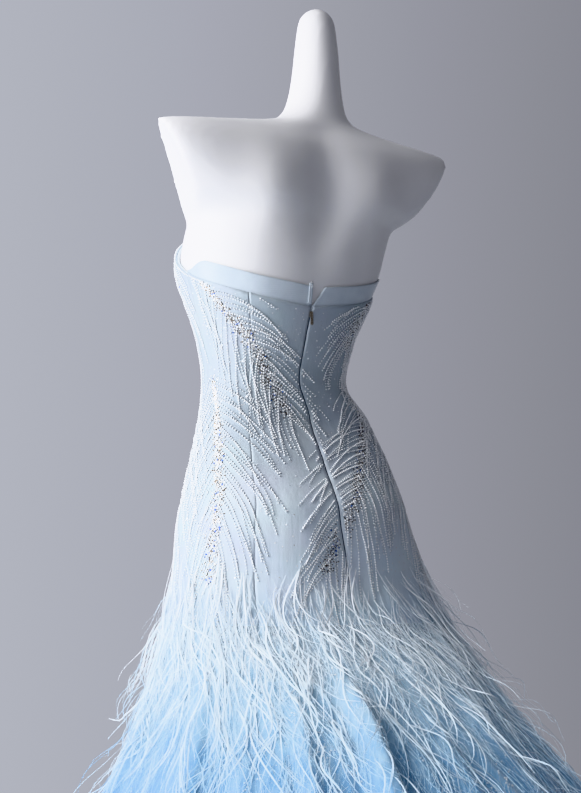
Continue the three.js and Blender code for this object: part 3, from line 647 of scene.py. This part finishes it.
def dress_form():
    """One shell with a neck and cut-off shoulders, its edges rounded as they are sanded."""
    shoulder = 1400
    body, neck = np.arange(FORM_BOTTOM_Z, shoulder, 6), np.arange(shoulder, FORM_CROWN_Z, 3.1)
    heights = np.concatenate([body, neck, [FORM_CROWN_Z]])
    turn, z = np.meshgrid(np.arange(0, 360, 3.0), heights, indexing="ij")
    points = form_face(turn, z, 0.0)
    at = numbered(*turn.shape)
    after = np.roll(at, -1, 0)
    walls = np.stack([at, after, after + 1, at + 1], -1)[:, :-1].reshape(-1, 4)
    top, bottom = (np.full(len(at), turn.size + k) for k in (0, 1))
    caps = [np.stack([top, at[:, -1], after[:, -1]], -1), np.stack([bottom, after[:, 0], at[:, 0]], -1)]
    ends_at = ((FORM_CROWN_Z, FORM_TOP_Z), (FORM_BOTTOM_Z, FORM_BOTTOM_Z))
    apex = [[centre_x_at(section), centre_y_at(section), z_end] for section, z_end in ends_at]
    shell = np.concatenate([points.reshape(-1, 3), apex])
    piece = mesh_piece("dress_form_shell", shell, [walls, *caps], FORM, "form_plastic", "dress_form")
    cutters = [arm_cutter(side) for side in (-1, 1)]
    for cutter in cutters:
        cut = piece.modifiers.new("arm", "BOOLEAN")
        cut.operation, cut.object, cut.solver = "DIFFERENCE", cutter, "EXACT"
    # the sanded edges: an even skin of 6 mm facets, then smoothed
    skin = piece.modifiers.new("skin", "REMESH")
    skin.mode, skin.voxel_size, skin.use_smooth_shade = "VOXEL", 0.006, True
    sanding = piece.modifiers.new("sanding", "SMOOTH")
    sanding.factor, sanding.iterations = 0.5, 5
    seen = piece.evaluated_get(bpy.context.evaluated_depsgraph_get())
    finished = bpy.data.meshes.new_from_object(seen)
    piece.modifiers.clear()
    piece.data = finished
    for cutter in cutters:
        bpy.data.objects.remove(cutter)


dress_form()

# ---- bodice and skirt ------------------------------------------------------------------------------


def edge_gap(turn, z):
    """Half the gap at a panel's edge, in degrees: a seam's, or the zip's opening at the centre back."""
    gap = np.where((turn % 360 == 180) & (z > ZIP_END_Z), ZIP_OPENING, SEWN_GAP)
    return gap / 2 / per_degree_at(turn, z)


def panel_grid(start, stop, columns, heights):
    """Turns and heights of a panel's grid. heights is (columns, rows)."""
    low = start + edge_gap(start, heights[0])
    high = stop - edge_gap(stop, heights[-1])
    share = np.linspace(0, 1, columns)[:, None]
    # two close columns at each edge give the seam its rolled edge
    close = 0.6 / columns
    share = np.concatenate([[[0]], [[close]], share[1:-1], [[1 - close]], [[1]]])
    turns = low[None, :] + (high - low)[None, :] * share
    return turns, np.concatenate([heights[:1], heights[:1], heights[1:-1], heights[-1:], heights[-1:]])


def seam_roll(outer, normals, depth):
    """Sinks a panel's first and last columns a little, as the cloth turns in to a seam."""
    rolled = outer.copy()
    rolled[[0, -1]] -= normals[[0, -1]] * depth
    return rolled


def bodice_panel(name, start, stop):
    middle = (start + stop) / 2
    columns = int((stop - start) * per_degree_at(middle, 1150) / 5.5) + 2
    turns = np.linspace(start, stop, columns)
    # a close row at the hip seam too, as a share of the panel's height
    share = np.insert(np.linspace(0, 1, 92), 1, 0.0012)
    low = HIP_SEAM_Z + SEWN_GAP / 2
    heights = low + (neckline_z(turns)[:, None] - low) * share[None, :]
    turns, heights = panel_grid(start, stop, columns, heights)
    outer = cloth_at(turns, heights)
    normals = outward_at(turns, heights)
    inner = surface_at(turns, heights) - normals * CLOTH
    rolled = seam_roll(outer, normals, BODICE_ROLL)
    piece = cloth_shell(name + "_cloth", rolled, inner, SATIN, "bodice_satin", name)


def skirt_panel(name, start, stop):
    columns = int(1.6 * (stop - start)) + 1
    top = HIP_SEAM_Z - SEWN_GAP / 2
    rows = np.insert(np.linspace(HEM_Z, top, 58), 57, top - CLOSE_ROW)
    heights = np.tile(rows, (columns, 1))
    turns, heights = panel_grid(start, stop, columns, heights)
    outer = cloth_at(turns, heights)
    normals = outward_at(turns, heights)
    rolled = seam_roll(outer, normals, SKIRT_ROLL)
    piece = cloth_shell(name + "_tulle", rolled, outer - normals * SKIRT_CLOTH, TULLE, "skirt_tulle", name)


def veil_at(turn, z):
    """The sheer top layer hangs clear of the layers below, in folds of its own."""
    clear = VEIL_CLEAR + VEIL_LIFT * np.clip((VEIL_TOP_Z - z) / VEIL_LIFT_RISE, 0, 1)
    return cloth_at(turn, z, clear + 0.5 * fold_out(VEIL_FOLDS, turn, z))


def skirt_veil():
    """One layer of sheer net over the skirt, open down its back seam."""
    turns = np.linspace(-179.8, 179.8, 450)
    heights = np.linspace(HEM_Z + 3, VEIL_TOP_Z, 46)
    turn, z = np.meshgrid(turns, heights, indexing="ij")
    outer = veil_at(turn, z)
    piece = mesh_piece("skirt_veil", outer, [grid_faces(*turn.shape)], SHEER, "skirt_tulle")


def hem_braid():
    """The soft braid that is sewn round inside the hem to spread it."""
    turns = np.linspace(0, 360, 361)
    path = cloth_at(turns, np.full(361, HEM_Z + 1.6), -1.2)
    points, faces = tube(path, 1.5)
    mesh_piece("hem_braid", points, [faces], TULLE, "skirt_tulle")


for row in BODICE_PANELS:
    bodice_panel(*row)
for row in SKIRT_PANELS:
    skirt_panel(*row)
skirt_veil()
hem_braid()

# ---- facing, hook and zip --------------------------------------------------------------------------


def facing_half(side, with_pieces=()):
    """A band just inside the top edge. Its end by the zip leans away from the centre back."""
    seam = SIDE_SEAM if side == "left" else 360 - SIDE_SEAM
    turns = np.linspace(seam, 180, 60) if side == "left" else np.linspace(180, seam, 60)
    # the top edge curves down into the bodice's own edge where the front cups begin
    risen = np.sin(np.clip(np.abs(turns - seam) / FACING_TAPER, 0, 1) * math.pi / 2) ** 1.3
    above = FACING_ABOVE * (0.12 + 0.88 * risen)
    drawn = 1 - FACING_SPLAY[side] / per_degree_at(180, neckline_z(turns) + above) / abs(180 - seam)
    share = np.linspace(0, 1, 14)
    height = (above[:, None] + FACING_BELOW) * share[None, :] - FACING_BELOW
    level = np.clip(height / above[:, None], 0, 1)
    grid_z = neckline_z(turns)[:, None] + height
    grid_turn = seam + (turns - seam)[:, None] * (1 + (drawn[:, None] - 1) * level)
    # a narrow roll along the folded top edge
    roll = 0.5 * np.exp(-(((1 - share) * (FACING_ABOVE + FACING_BELOW) / 3) ** 2))[None, :]
    normals = outward_at(grid_turn, grid_z)
    outer = surface_at(grid_turn, grid_z) - normals * (CLOTH + FACING_GAP - roll)[..., None]
    inner = surface_at(grid_turn, grid_z) - normals * (CLOTH + FACING_GAP + TRIM_CLOTH)
    piece = cloth_shell(f"facing_{side}_band", outer, inner, FACING, "facing_satin", f"facing_{side}")


def hook_tab():
    """The upright tab at the left end of the facing, with a bent wire hook on it."""
    share, across = np.linspace(0, 1, 12), np.linspace(0, 1, 6)
    z = neckline_z(170) + 0.35 + HOOK_TAB_HEIGHT * share
    inset = FACING_SPLAY["left"] * (2 * share + 1) / 3
    turns = 180 - (inset[None, :] + HOOK_TAB_WIDTH * (1 - across)[:, None]) / per_degree_at(180, z)[None, :]
    z = np.tile(z, (6, 1))
    normals = outward_at(turns, z)
    out = -CLOTH - FACING_GAP + 0.35 + TRIM_CLOTH
    outer = surface_at(turns, z) + normals * out
    inner = outer - normals * TRIM_CLOTH
    piece = cloth_shell("hook_tab_cloth", outer, inner, FACING, "facing_satin", "hook_tab")
    # the hook: sideways, up and out from the tab's top, in millimetres
    bends = [(-1.4, -7, 0.3), (-1.4, 0, 0.5), (-0.8, 2.2, 1.0), (0, 2.6, 1.6)]
    bends += [(-a, b, c) for a, b, c in bends[2::-1]]
    place, away = outer[3, -1], normals[3, -1]
    level = unit(np.cross(away, np.array([0.0, 0, 1])))
    path = np.array([place + level * a + np.array([0, 0, b]) + away * c for a, b, c in bends])
    points, faces = tube(path, 0.4)
    mesh_piece("hook_wire", points, [faces], STEEL, "zip_metal")
    return piece


def bust_cups():
    """The foam cups' bevelled top edge, in its cotton cover, between the bodice and the form."""
    turns = np.linspace(-SIDE_SEAM, SIDE_SEAM, 150)
    # share of the way from the cloth to the form, and height from the top edge
    profile = [(0, -34), (0, -1.5), (0.12, -0.4), (0.5, 0.3), (0.88, -0.8), (1, -3.5), (1, -34), (0.5, -36)]
    rings = []
    for share, drop in profile:
        z = neckline_z(turns) + drop
        cloth = surface_at(turns, z) - outward_at(turns, z) * (CLOTH + 0.2)
        rings.append(cloth * (1 - share) + form_face(turns, z, 0.6) * share)
    points = np.stack(rings, 1)
    rows = len(profile)
    a = numbered(len(turns), rows)
    b = np.roll(a, -1, 1)
    walls = np.stack([a, a + rows, b + rows, b], -1)[:-1].reshape(-1, 4)
    ends = np.stack([a[0], a[-1, ::-1]])
    piece = mesh_piece("bust_cup_foam", points, [walls, ends], LINING, "facing_satin")


def zip_parts():
    """The tape behind the opening, and its two coils."""
    z = np.linspace(ZIP_TAPE_END_Z, ZIP_TAPE_TOP_Z, 80)
    half = ZIP_TAPE_WIDTH / 2 / per_degree_at(180, z)
    turns = 180 + np.linspace(-1, 1, 7)[:, None] * half[None, :]
    z = np.tile(z, (7, 1))
    normals = outward_at(turns, z)
    outer = surface_at(turns, z) - normals * (CLOTH + FACING_GAP)
    tape = cloth_shell("zip_tape_weave", outer, outer - normals * TRIM_CLOTH, TAPE, "zip_tape", "zip_tape")
    # coils: a flattened loop each 1.5 mm, one row on each side of the centre
    points, faces, start = [], [], 0
    for side in (-1, 1):
        steps = np.arange(ZIP_END_Z - 8, ZIP_COIL_TOP_Z, 0.75)
        swing = np.where(np.arange(len(steps)) % 2, 0.25, 1.15)
        turn = 180 + side * swing / per_degree_at(180, steps)
        path = surface_at(turn, steps) - outward_at(turn, steps) * 1.55
        at, quads = tube(path, 0.34, 4)
        points.append(at)
        faces.append(quads + start)
        start += len(at)
    mesh_piece("zip_coil", np.concatenate(points), faces, COIL, "zip_tape")


facing_half("left", [hook_tab()])
facing_half("right")
bust_cups()
zip_parts()

# ---- beadwork --------------------------------------------------------------------------------------

# The fronds, generic: points of a spine as (turn, height), the longest barb in millimetres and the
# number of barbs on each side. They follow the body from the top edge to the hip all round.
FRONDS = [
    ([(90, 1226), (104, 1196), (124, 1144), (144, 1100), (157, 1054), (168, 1000)], 128, 34),
    ([(96, 1062), (107, 1000), (114, 930), (116, 850), (114, 748)], 150, 38),
    ([(240, 1052), (226, 1000), (207, 948), (194, 900), (183, 845), (171, 762)], 150, 40),
    ([(236, 1192), (227, 1160), (221, 1112)], 105, 20),
    ([(262, 1226), (258, 1150), (250, 1080), (244, 1020)], 95, 26),
    ([(262, 1040), (252, 980), (246, 900), (242, 770)], 150, 36),
    ([(64, 1262), (66, 1200), (60, 1130), (50, 1070), (38, 1020)], 110, 30),
    ([(296, 1262), (294, 1200), (300, 1130), (310, 1070), (322, 1020)], 110, 30),
    ([(30, 1282), (26, 1220), (14, 1150), (6, 1090)], 90, 26),
    ([(330, 1282), (334, 1220), (346, 1150), (354, 1090)], 90, 26),
    ([(18, 1060), (24, 990), (26, 900), (22, 800)], 140, 32),
    ([(342, 1056), (336, 990), (334, 900), (338, 800)], 140, 32),
    ([(60, 1040), (66, 970), (70, 880), (68, 790)], 140, 30),
    ([(300, 1040), (294, 970), (290, 880), (292, 790)], 140, 30),
    ([(0, 960), (-2, 880), (0, 790)], 110, 20),
    ([(0, 1214), (1, 1176), (-1, 1128)], 66, 16),
]

PEARL_PITCH, SILVER_PITCH = 3.9, 4.7
PEARL_RADIUS, SILVER_RADIUS, SPINE_RADIUS = 1.7, 1.45, 1.2
SPINE_BEADS, SPINE_STONES = 34, 3.4  # for each barb of a frond
CLEAR_SHARE = 0.66  # of the stones, the others being sapphire
LOWEST_BEAD_Z = 600
PEARL_GROUPS, GROUP_OF = 130, 6
SEQUINS, SEQUIN_TOP_Z, SEQUIN_FALL = 3400, 1230, 860

random_beads = np.random.default_rng(11)


def spine_of(points, count):
    """A smooth spine through its points: turns, heights and headings from straight down, in radians."""
    rows = np.array(points, float)
    share = np.linspace(0, 1, len(rows))
    at = np.linspace(0, 1, count)
    turn, z = (curve_of(np.stack([share, rows[:, k]], 1))(at) for k in (0, 1))
    across = np.gradient(turn) * per_degree_at(turn, z)
    down = -np.gradient(z) * per_height_at(turn, z)
    return turn, z, np.arctan2(across, down)


def bead_lines(turn, z, heading, bend, length, pitch):
    """Runs lines of beads over the cloth from their starts: the turn and height of each bead."""
    kept = []
    for k in range(int(np.max(length) / pitch)):
        share = k * pitch / length
        angle = heading + bend * np.clip(share, 0, 1) ** 0.8
        kept.append(np.stack([turn, z, angle, share], -1))
        turn = turn + pitch * np.sin(angle) / per_degree_at(turn, z)
        z = z - pitch * np.cos(angle) / per_height_at(turn, z)
    beads = np.concatenate(kept)
    beads = beads[beads[:, 3] < 1]
    on_cloth = (beads[:, 1] < neckline_z(beads[:, 0]) - 4) & (beads[:, 1] > LOWEST_BEAD_Z)
    off_zip = (np.abs(off_by(beads[:, 0], 180)) > 0.95) | (beads[:, 1] < ZIP_END_Z - 30)
    return beads[on_cloth & off_zip]


OCTAHEDRON = np.array([[1, 0, 0], [-1, 0, 0], [0, 1, 0], [0, -1, 0], [0, 0, 1], [0, 0, -1]], float)
OCTAHEDRON_FACES = np.array(
    [[0, 2, 4], [2, 1, 4], [1, 3, 4], [3, 0, 4], [2, 0, 5], [1, 2, 5], [3, 1, 5], [0, 3, 5]]
)


def frames_at(turn, z, out, heading):
    """Places on the cloth, each with its outward direction, the bead's own run and its side."""
    at = cloth_at(turn, z, out)
    away = outward_at(turn, z)
    level = unit(np.cross(np.array([0.0, 0, 1]), away))
    down = np.cross(level, away)
    down = np.where(down[..., 2:] > 0, -down, down)
    run = level * np.sin(heading)[:, None] + down * np.cos(heading)[:, None]
    return at, away, unit(run), unit(np.cross(run, away))


def sewn_beads(name, beads, radius, stretch, finish, whole=True):
    """Seed beads in one mesh, each a little longer along its line. Crowded ones have no underside."""
    turn, z, heading = beads[:, 0], beads[:, 1], beads[:, 2]
    at, away, run, side = frames_at(turn, z, radius * (0.8 if whole else 0.4), heading)
    kept = OCTAHEDRON_FACES[: 8 if whole else 4]
    size = radius * random_beads.uniform(0.88, 1.1, len(at))[:, None, None]
    form = OCTAHEDRON[None] * size
    points = (
        at[:, None]
        + form[..., :1] * stretch * run[:, None]
        + form[..., 1:2] * side[:, None]
        + form[..., 2:] * away[:, None]
    )
    faces = kept[None] + 6 * np.arange(len(at))[:, None, None]
    mesh_piece(name, points, [faces.reshape(-1, 3)], finish, "bodice_satin")


def cut_crystals(name, turn, z, size, finish):
    """Round-cut stones: a six-sided girdle and a smaller table, each turned its own way."""
    at, away, run, side = frames_at(turn, z, 0, random_beads.uniform(0, 6.28, len(turn)))
    ring = rings_of(run, side, 6)
    tilt = unit(away + 0.22 * random_beads.normal(size=away.shape))
    size = size[:, None, None]
    girdle = at[:, None] + ring * size + tilt[:, None] * 0.45 * size
    table = at[:, None] + ring * size * 0.55 + tilt[:, None] * size
    foot = at[:, None] + ring * size * 0.7 - tilt[:, None] * 0.1
    points = np.concatenate([foot, girdle, table], 1)
    a = numbered(3, 6)
    b = np.roll(a, -1, 1)
    walls = np.stack([a, b, b + 6, a + 6], -1)[:-1].reshape(-1, 4)
    start = 18 * np.arange(len(at))[:, None, None]
    faces = [(walls[None] + start).reshape(-1, 4), (a[2][None, None] + start).reshape(-1, 6)]
    mesh_piece(name, points, faces, finish, "bodice_satin", smooth=False)


def beadwork():
    """The fronds' lines of beads, the beads and stones along their spines, and the pearls elsewhere."""
    pearl, silver, crowd, stones = [], [], [], []
    for number, (points, longest, count) in enumerate(FRONDS):
        share = (np.arange(count) + 0.5) / count
        turn, z, heading = spine_of(points, count)
        for side in (-1, 1):
            jitter = random_beads.uniform(-1, 1, count)
            length = longest * (0.5 + 0.5 * np.sin(math.pi * (0.12 + 0.78 * share))) * (1 + 0.16 * jitter)
            # barbs leave the spine steeply at first, and in a fan at its tip
            opened = np.radians(58 - 34 * share + 6 * random_beads.uniform(-1, 1, count))
            closed = -np.radians(38 - 22 * share + 10 * random_beads.uniform(-1, 1, count))
            start = heading + side * opened
            drop = -0.42 * (heading + side * (opened + closed))
            bend = side * closed + drop * (0.4 + 0.6 * share)
            moved = turn + random_beads.uniform(-1, 1, count)
            white = (np.arange(count) + number) % 3 == 0
            for lines, chosen, pitch in ((pearl, white, PEARL_PITCH), (silver, ~white, SILVER_PITCH)):
                barbs = (row[chosen] for row in (moved, z, start, bend, length))
                lines.append(bead_lines(*barbs, pitch))
        # small beads crowd along the spine, wider towards its tip, with stones among them
        turn, z, heading = spine_of(points, 200)
        for heap, each, low, wide in ((crowd, SPINE_BEADS, 2.6, 4.6), (stones, SPINE_STONES, 2.0, 5.0)):
            amount = int(each * count)
            along = random_beads.uniform(0, 1, amount) ** 0.8
            k = (along * 199).astype(int)
            spread = (low + wide * along) * random_beads.normal(size=amount)
            aside = spread / per_degree_at(turn[k], z[k]) * np.cos(heading[k])
            level = z[k] + spread * np.sin(heading[k]) + random_beads.normal(0, 2, amount)
            heap.append(np.stack([turn[k] + aside, level, random_beads.uniform(0, 6.28, amount)], -1))
    # one string follows the top edge of the front, from side to side
    edge = np.arange(-104, 104, 1.25)
    level, sideways = neckline_z(edge) - 2.6, np.full(len(edge), math.pi / 2)
    pearl.append(np.stack([edge, level, sideways, np.zeros(len(edge))], -1))
    # small groups of pearls lie scattered over the tulle under the feathers
    spans = ((0, 360), (420, 690))
    turn, z = (np.repeat(random_beads.uniform(*span, PEARL_GROUPS), GROUP_OF) for span in spans)
    turn, z = turn + random_beads.normal(0, 0.8, len(turn)), z + random_beads.normal(0, 7, len(z))
    pearl.append(np.stack([turn, z, np.zeros(len(z)), np.zeros(len(z))], -1))
    crowd, stones = (
        heap[(heap[:, 1] < neckline_z(heap[:, 0]) - 3) & (np.abs(off_by(heap[:, 0], 180)) > 1.2)]
        for heap in (np.concatenate(crowd), np.concatenate(stones))
    )
    sewn_beads("pearl_bead_lines", np.concatenate(pearl), PEARL_RADIUS, 1.05, PEARL)
    sewn_beads("silver_bead_lines", np.concatenate(silver), SILVER_RADIUS, 1.15, SILVER)
    sewn_beads("silver_spine_beads", crowd[::2], SPINE_RADIUS, 1, SILVER, False)
    sewn_beads("smoky_spine_beads", crowd[1::2], SPINE_RADIUS, 1, CHAMPAGNE, False)
    size = random_beads.uniform(1.0, 1.7, len(stones))
    kind = random_beads.uniform(0, 1, len(stones))
    for name, chosen, finish in (
        ("clear_crystals", kind < CLEAR_SHARE, CLEAR),
        ("sapphire_crystals", kind >= CLEAR_SHARE, SAPPHIRE),
    ):
        cut_crystals(name, stones[chosen, 0], stones[chosen, 1], size[chosen], finish)


def sequins():
    """Flat round sequins, thin over the bodice and thinner down the skirt, each tipped its own way."""
    turn = random_beads.uniform(0, 360, SEQUINS)
    z = SEQUIN_TOP_Z - SEQUIN_FALL * random_beads.uniform(0, 1, SEQUINS) ** 1.1
    kept = (z < neckline_z(turn) - 6) & (np.abs(turn - 180) > 2)
    turn, z = turn[kept], z[kept]
    at, away, run, side = frames_at(turn, z, 0.5, random_beads.uniform(0, 6.28, len(turn)))
    away = unit(away + 0.28 * random_beads.normal(size=away.shape))
    run = unit(np.cross(away, side))
    side = np.cross(away, run)
    radius = random_beads.uniform(0.9, 1.35, len(turn))[:, None, None]
    points = at[:, None] + radius * rings_of(run, side, 6)
    mesh_piece("sequins", points, [numbered(len(turn), 6)], CLEAR, "bodice_satin", smooth=False)


beadwork()
sequins()

# ---- feathers --------------------------------------------------------------------------------------

# Tufts in each zone: the node that it stands for, heights of the roots, number of tufts, strands
# in a tuft, strand length, how strongly they curl and how wide a strand's flue is.
FEATHER_ZONES = [
    ("feathers_hip_down", "feather_row_1", 665, 750, 165, 9, (60, 130), 0.5, 0.12),
    ("feathers_hip_curls", None, 655, 785, 84, 6, (80, 190), 1.0, 0.75),
    ("feathers_upper_down", "feather_row_2", 565, 665, 150, 9, (60, 135), 0.5, 0.12),
    ("feathers_upper_curls", None, 580, 690, 110, 6, (80, 200), 1.0, 0.8),
    ("feathers_lower_down", "feather_row_3", 440, 580, 170, 9, (80, 160), 0.55, 0.15),
    ("feathers_lower_curls", None, 470, 590, 74, 6, (80, 190), 1.0, 0.7),
    ("feathers_low_fringe", None, 380, 480, 36, 6, (70, 140), 0.9, 0.6),
]
STATIONS = 13
CURL_BARBS, DOWN_BARBS = 16, 11

random_plumes = np.random.default_rng(29)


def plume_lines(turn, z, length, heading, sway, waves, phase, curl, lift):
    """The centre line of each strand over the skirt: points, outward directions."""
    step = length / (STATIONS - 1)
    points, away = [], []
    for k in range(STATIONS):
        share = k / (STATIONS - 1)
        rise = math.sin(min(1, share * 1.25) * math.pi / 2)
        out = 1.5 + lift * rise * (1 + 0.25 * np.sin(phase + 5 * share))
        points.append(cloth_at(turn, z, out))
        away.append(outward_at(turn, z))
        swing = sway * np.sin(2 * math.pi * waves * share + phase)
        angle = heading * (1 - 0.4 * share) + swing + curl * share**2
        turn = turn + step * np.sin(angle) / per_degree_at(turn, z)
        z = z - step * np.cos(angle) / per_height_at(turn, z)
    return np.stack(points, 1), np.stack(away, 1)


def plume_mesh(points, away, flue):
    """Each strand as a narrow flue, folded a little along its quill, with loose barbs on both sides."""
    count = len(points)
    ribs, barb_count = (3, CURL_BARBS) if flue > 0.5 else (2, DOWN_BARBS)
    along = unit(np.gradient(points, axis=1))
    side = unit(np.cross(along, away))
    share = np.linspace(0, 1, STATIONS)[None, :, None]
    root, on_the_way = (random_plumes.uniform(-most, most, (count, 1, 1)) for most in (0.7, 1.2))
    twist = root + on_the_way * share
    side, out = side * np.cos(twist) + away * np.sin(twist), away * np.cos(twist) - side * np.sin(twist)
    wide = flue * random_plumes.uniform(0.35, 1.5, (count, 1, 1))
    half = wide * np.sin(math.pi * np.clip(0.1 + 0.9 * share**0.7, 0, 1)) + 0.18
    across = [points - side * half, points + out * half * 0.45, points + side * half]
    strip = np.stack(across if ribs == 3 else across[::2], 2).reshape(-1, 3)
    one = grid_faces(STATIONS, ribs)
    strip_faces = (one[None] + ribs * STATIONS * np.arange(count)[:, None, None]).reshape(-1, 4)
    place = np.linspace(0.08, 0.99, barb_count)[None, :] * (STATIONS - 1)
    place = place + random_plumes.uniform(-0.25, 0.25, (count, barb_count))
    place = np.clip(place, 0, STATIONS - 1.001)
    low = place.astype(int)
    part = (place - low)[..., None]
    row = np.arange(count)[:, None]
    at = points[row, low] * (1 - part) + points[row, low + 1] * part
    run = along[row, low]
    aside, lifted = side[row, low], out[row, low]
    barbs = []
    for hand in (-1, 1):
        reach = random_plumes.uniform(5, 9, (count, barb_count, 1)) * (1 - 0.5 * place[..., None] / STATIONS)
        lean = run + hand * aside * 0.32 + lifted * random_plumes.uniform(-0.2, 0.25, (count, barb_count, 1))
        barbs.append(np.stack([at - run * 0.7, at + run * 0.7, at + unit(lean) * reach], 2))
    barbs = np.stack(barbs, 2).reshape(-1, 3)
    barb_faces = np.arange(len(barbs)).reshape(-1, 3) + len(strip)
    return np.concatenate([strip, barbs]), [strip_faces, barb_faces]


def feather_zone(name, node, low, high, tufts, strands, lengths, curled, flue):
    """Tufts sewn on round the skirt, each a spray of curling strands from one root."""
    spot = np.arange(tufts) * 0.618034 % 1
    root_turn = 360 * (np.arange(tufts) + random_plumes.uniform(-0.45, 0.45, tufts)) / tufts
    root_z = low + (high - low) * spot
    number = tufts * strands
    # the strands of a tuft flow together; one in twelve goes its own way
    own = random_plumes.uniform(0, 1, number) < 0.08

    def shared(low_end, high_end, play):
        tuft = np.repeat(random_plumes.uniform(low_end, high_end, tufts), strands)
        loose = random_plumes.uniform(low_end, high_end, number)
        return np.where(own, loose, tuft + random_plumes.normal(0, play, number))

    turn = np.repeat(root_turn, strands) + random_plumes.normal(0, 1.2, number)
    z = np.repeat(root_z, strands) + random_plumes.normal(0, 11, number)
    fan = np.tile(np.linspace(-1, 1, strands), tufts)
    heading = shared(-0.22, 0.22, 0.04) + 0.13 * fan
    length = random_plumes.uniform(*lengths, number)
    sway, waves, phase = shared(0.15, 0.5, 0.05), shared(0.5, 1.0, 0.05), shared(0, 2 * math.pi, 0.3)
    curl = curled * shared(-1.1, 1.1, 0.35)
    stray = random_plumes.uniform(0, 1, number) < 0.07 * curled
    far = random_plumes.uniform(14, 42, number)
    lift = np.where(stray, far, 1.5 + random_plumes.gamma(2, 2.6 * curled, number))
    points, away = plume_lines(turn, z, length, heading, sway, waves, phase, curl, lift)
    mesh_piece(name, *plume_mesh(points, away, flue), PLUME if flue > 0.5 else DOWN, "feather", node)


for zone in FEATHER_ZONES:
    feather_zone(*zone)

# ---- the solids that stay --------------------------------------------------------------------------

STAYING = {"zip_slider": BRONZE, "zip_pull": BRONZE, "stand_pole": STEEL, "stand_base": STEEL}

for name, finish in STAYING.items():
    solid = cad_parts[name]
    if not solid.material_slots:
        solid.data.materials.append(None)
    for place in solid.material_slots:
        place.material = finish

# ---- floor, light and camera -----------------------------------------------------------------------

FLOOR_RADIUS = 2450
# in pixels of the frame: its height, the lens, and how far the aim lies beside the axis and above the level
FRAME_HEIGHT, LENS, AIM_BESIDE, AIM_ABOVE = 793, 1548, 12.5, 165.5
# degrees round from the centre back, and metres
CAMERA_TURN, CAMERA_AWAY, CAMERA_Z = 29, 2.4, 0.78


def studio():
    """A round pale floor, in a room that is pale on the window's side and greyer away from it."""
    turns = np.linspace(0, 2 * math.pi, 96, endpoint=False)
    rim = np.stack([FLOOR_RADIUS * np.cos(turns), FLOOR_RADIUS * np.sin(turns), np.zeros(96)], -1)
    mesh = bpy.data.meshes.new("studio_floor")
    mesh.from_pydata((rim / 1000).tolist(), [], [list(range(96))])
    mesh.materials.append(grained_finish("painted_floor", "#c9cbd2", "#cfd1d8", 0.7, grain_mm=90))
    put_in_scene("studio_floor", mesh)

    world = bpy.context.scene.world or bpy.data.worlds.new("studio")
    bpy.context.scene.world = world
    world.use_nodes = True
    tree = world.node_tree
    tree.nodes.clear()
    direction = add_node(tree, "ShaderNodeTexCoord").outputs["Generated"]

    def toward(way, from_low, from_high, to_low, to_high):
        """How far a direction of the room turns one way, brought into a range."""
        dot = add_node(tree, "ShaderNodeVectorMath", {"operation": "DOT_PRODUCT", 1: way}, {0: direction})
        ends = {"From Min": from_low, "From Max": from_high, "To Min": to_low, "To Max": to_high}
        return add_node(tree, "ShaderNodeMapRange", ends, {"Value": dot.outputs["Value"]}).outputs["Result"]

    greys = [(0.1, "#75767d"), (0.62, "#b5b8c2"), (0.37, "#83848c"), (0.44, "#94959e"), (0.53, "#a9abb5")]
    window_side = toward((0.875, -0.485, 0), -1, 1, 0, 1)
    colour = add_node(tree, "ShaderNodeValToRGB", {"ramp": greys}, {"Fac": window_side}).outputs["Color"]
    # the far half of the room, opposite the lit wall, is dimmer
    level = toward((-0.485, -0.875, 0), -0.9, 0.6, 0.97, 1.09)
    back = add_node(tree, "ShaderNodeBackground", links={"Color": colour, "Strength": level})
    add_node(tree, "ShaderNodeOutputWorld", links={"Surface": back.outputs["Background"]})


def soft_light(name, at, target, size, power, code):
    lamp = bpy.data.lights.new(name, "AREA")
    lamp.shape, lamp.size, lamp.size_y = "RECTANGLE", size[0], size[1]
    lamp.energy, lamp.color = power, linear(code)[:3]
    hung = put_in_scene(name, lamp)
    hung.location = at
    hung.rotation_euler = (Vector(target) - Vector(at)).to_track_quat("-Z", "Y").to_euler()


def camera():
    """Round from the centre back towards the wearer's left, at hip height and aimed a little upwards."""
    theta = math.radians(CAMERA_TURN)
    away = Vector((math.sin(theta), math.cos(theta), 0))
    right = Vector((-math.cos(theta), math.sin(theta), 0))
    yaw, pitch = math.atan(AIM_BESIDE / LENS), math.atan(AIM_ABOVE / LENS)
    level = -away * math.cos(yaw) + right * math.sin(yaw)
    look = level * math.cos(pitch) + Vector((0, 0, 1)) * math.sin(pitch)
    data = bpy.data.cameras.new("camera")
    data.sensor_width, data.lens = 36, LENS / FRAME_HEIGHT * 36
    eye = put_in_scene("camera", data)
    eye.location = away * CAMERA_AWAY + Vector((0, 0, CAMERA_Z))
    eye.rotation_euler = look.to_track_quat("-Z", "Y").to_euler()
    bpy.context.scene.camera = eye


studio()
bpy.context.scene.view_settings.view_transform = "Khronos PBR Neutral"
soft_light("window_light", (2.45, 0.05, 1.85), (0.0, 0.0, 0.95), (1.3, 2.6), 126, "#fdfdff")
soft_light("low_window", (2.1, -0.95, 0.5), (0.1, 0.1, 0.45), (0.9, 0.7), 46, "#fdfdff")
soft_light("front_fill", (-2.2, -2.4, 2.4), (0.0, 0.0, 1.0), (2.4, 2.4), 6, "#eef2fa")
camera()
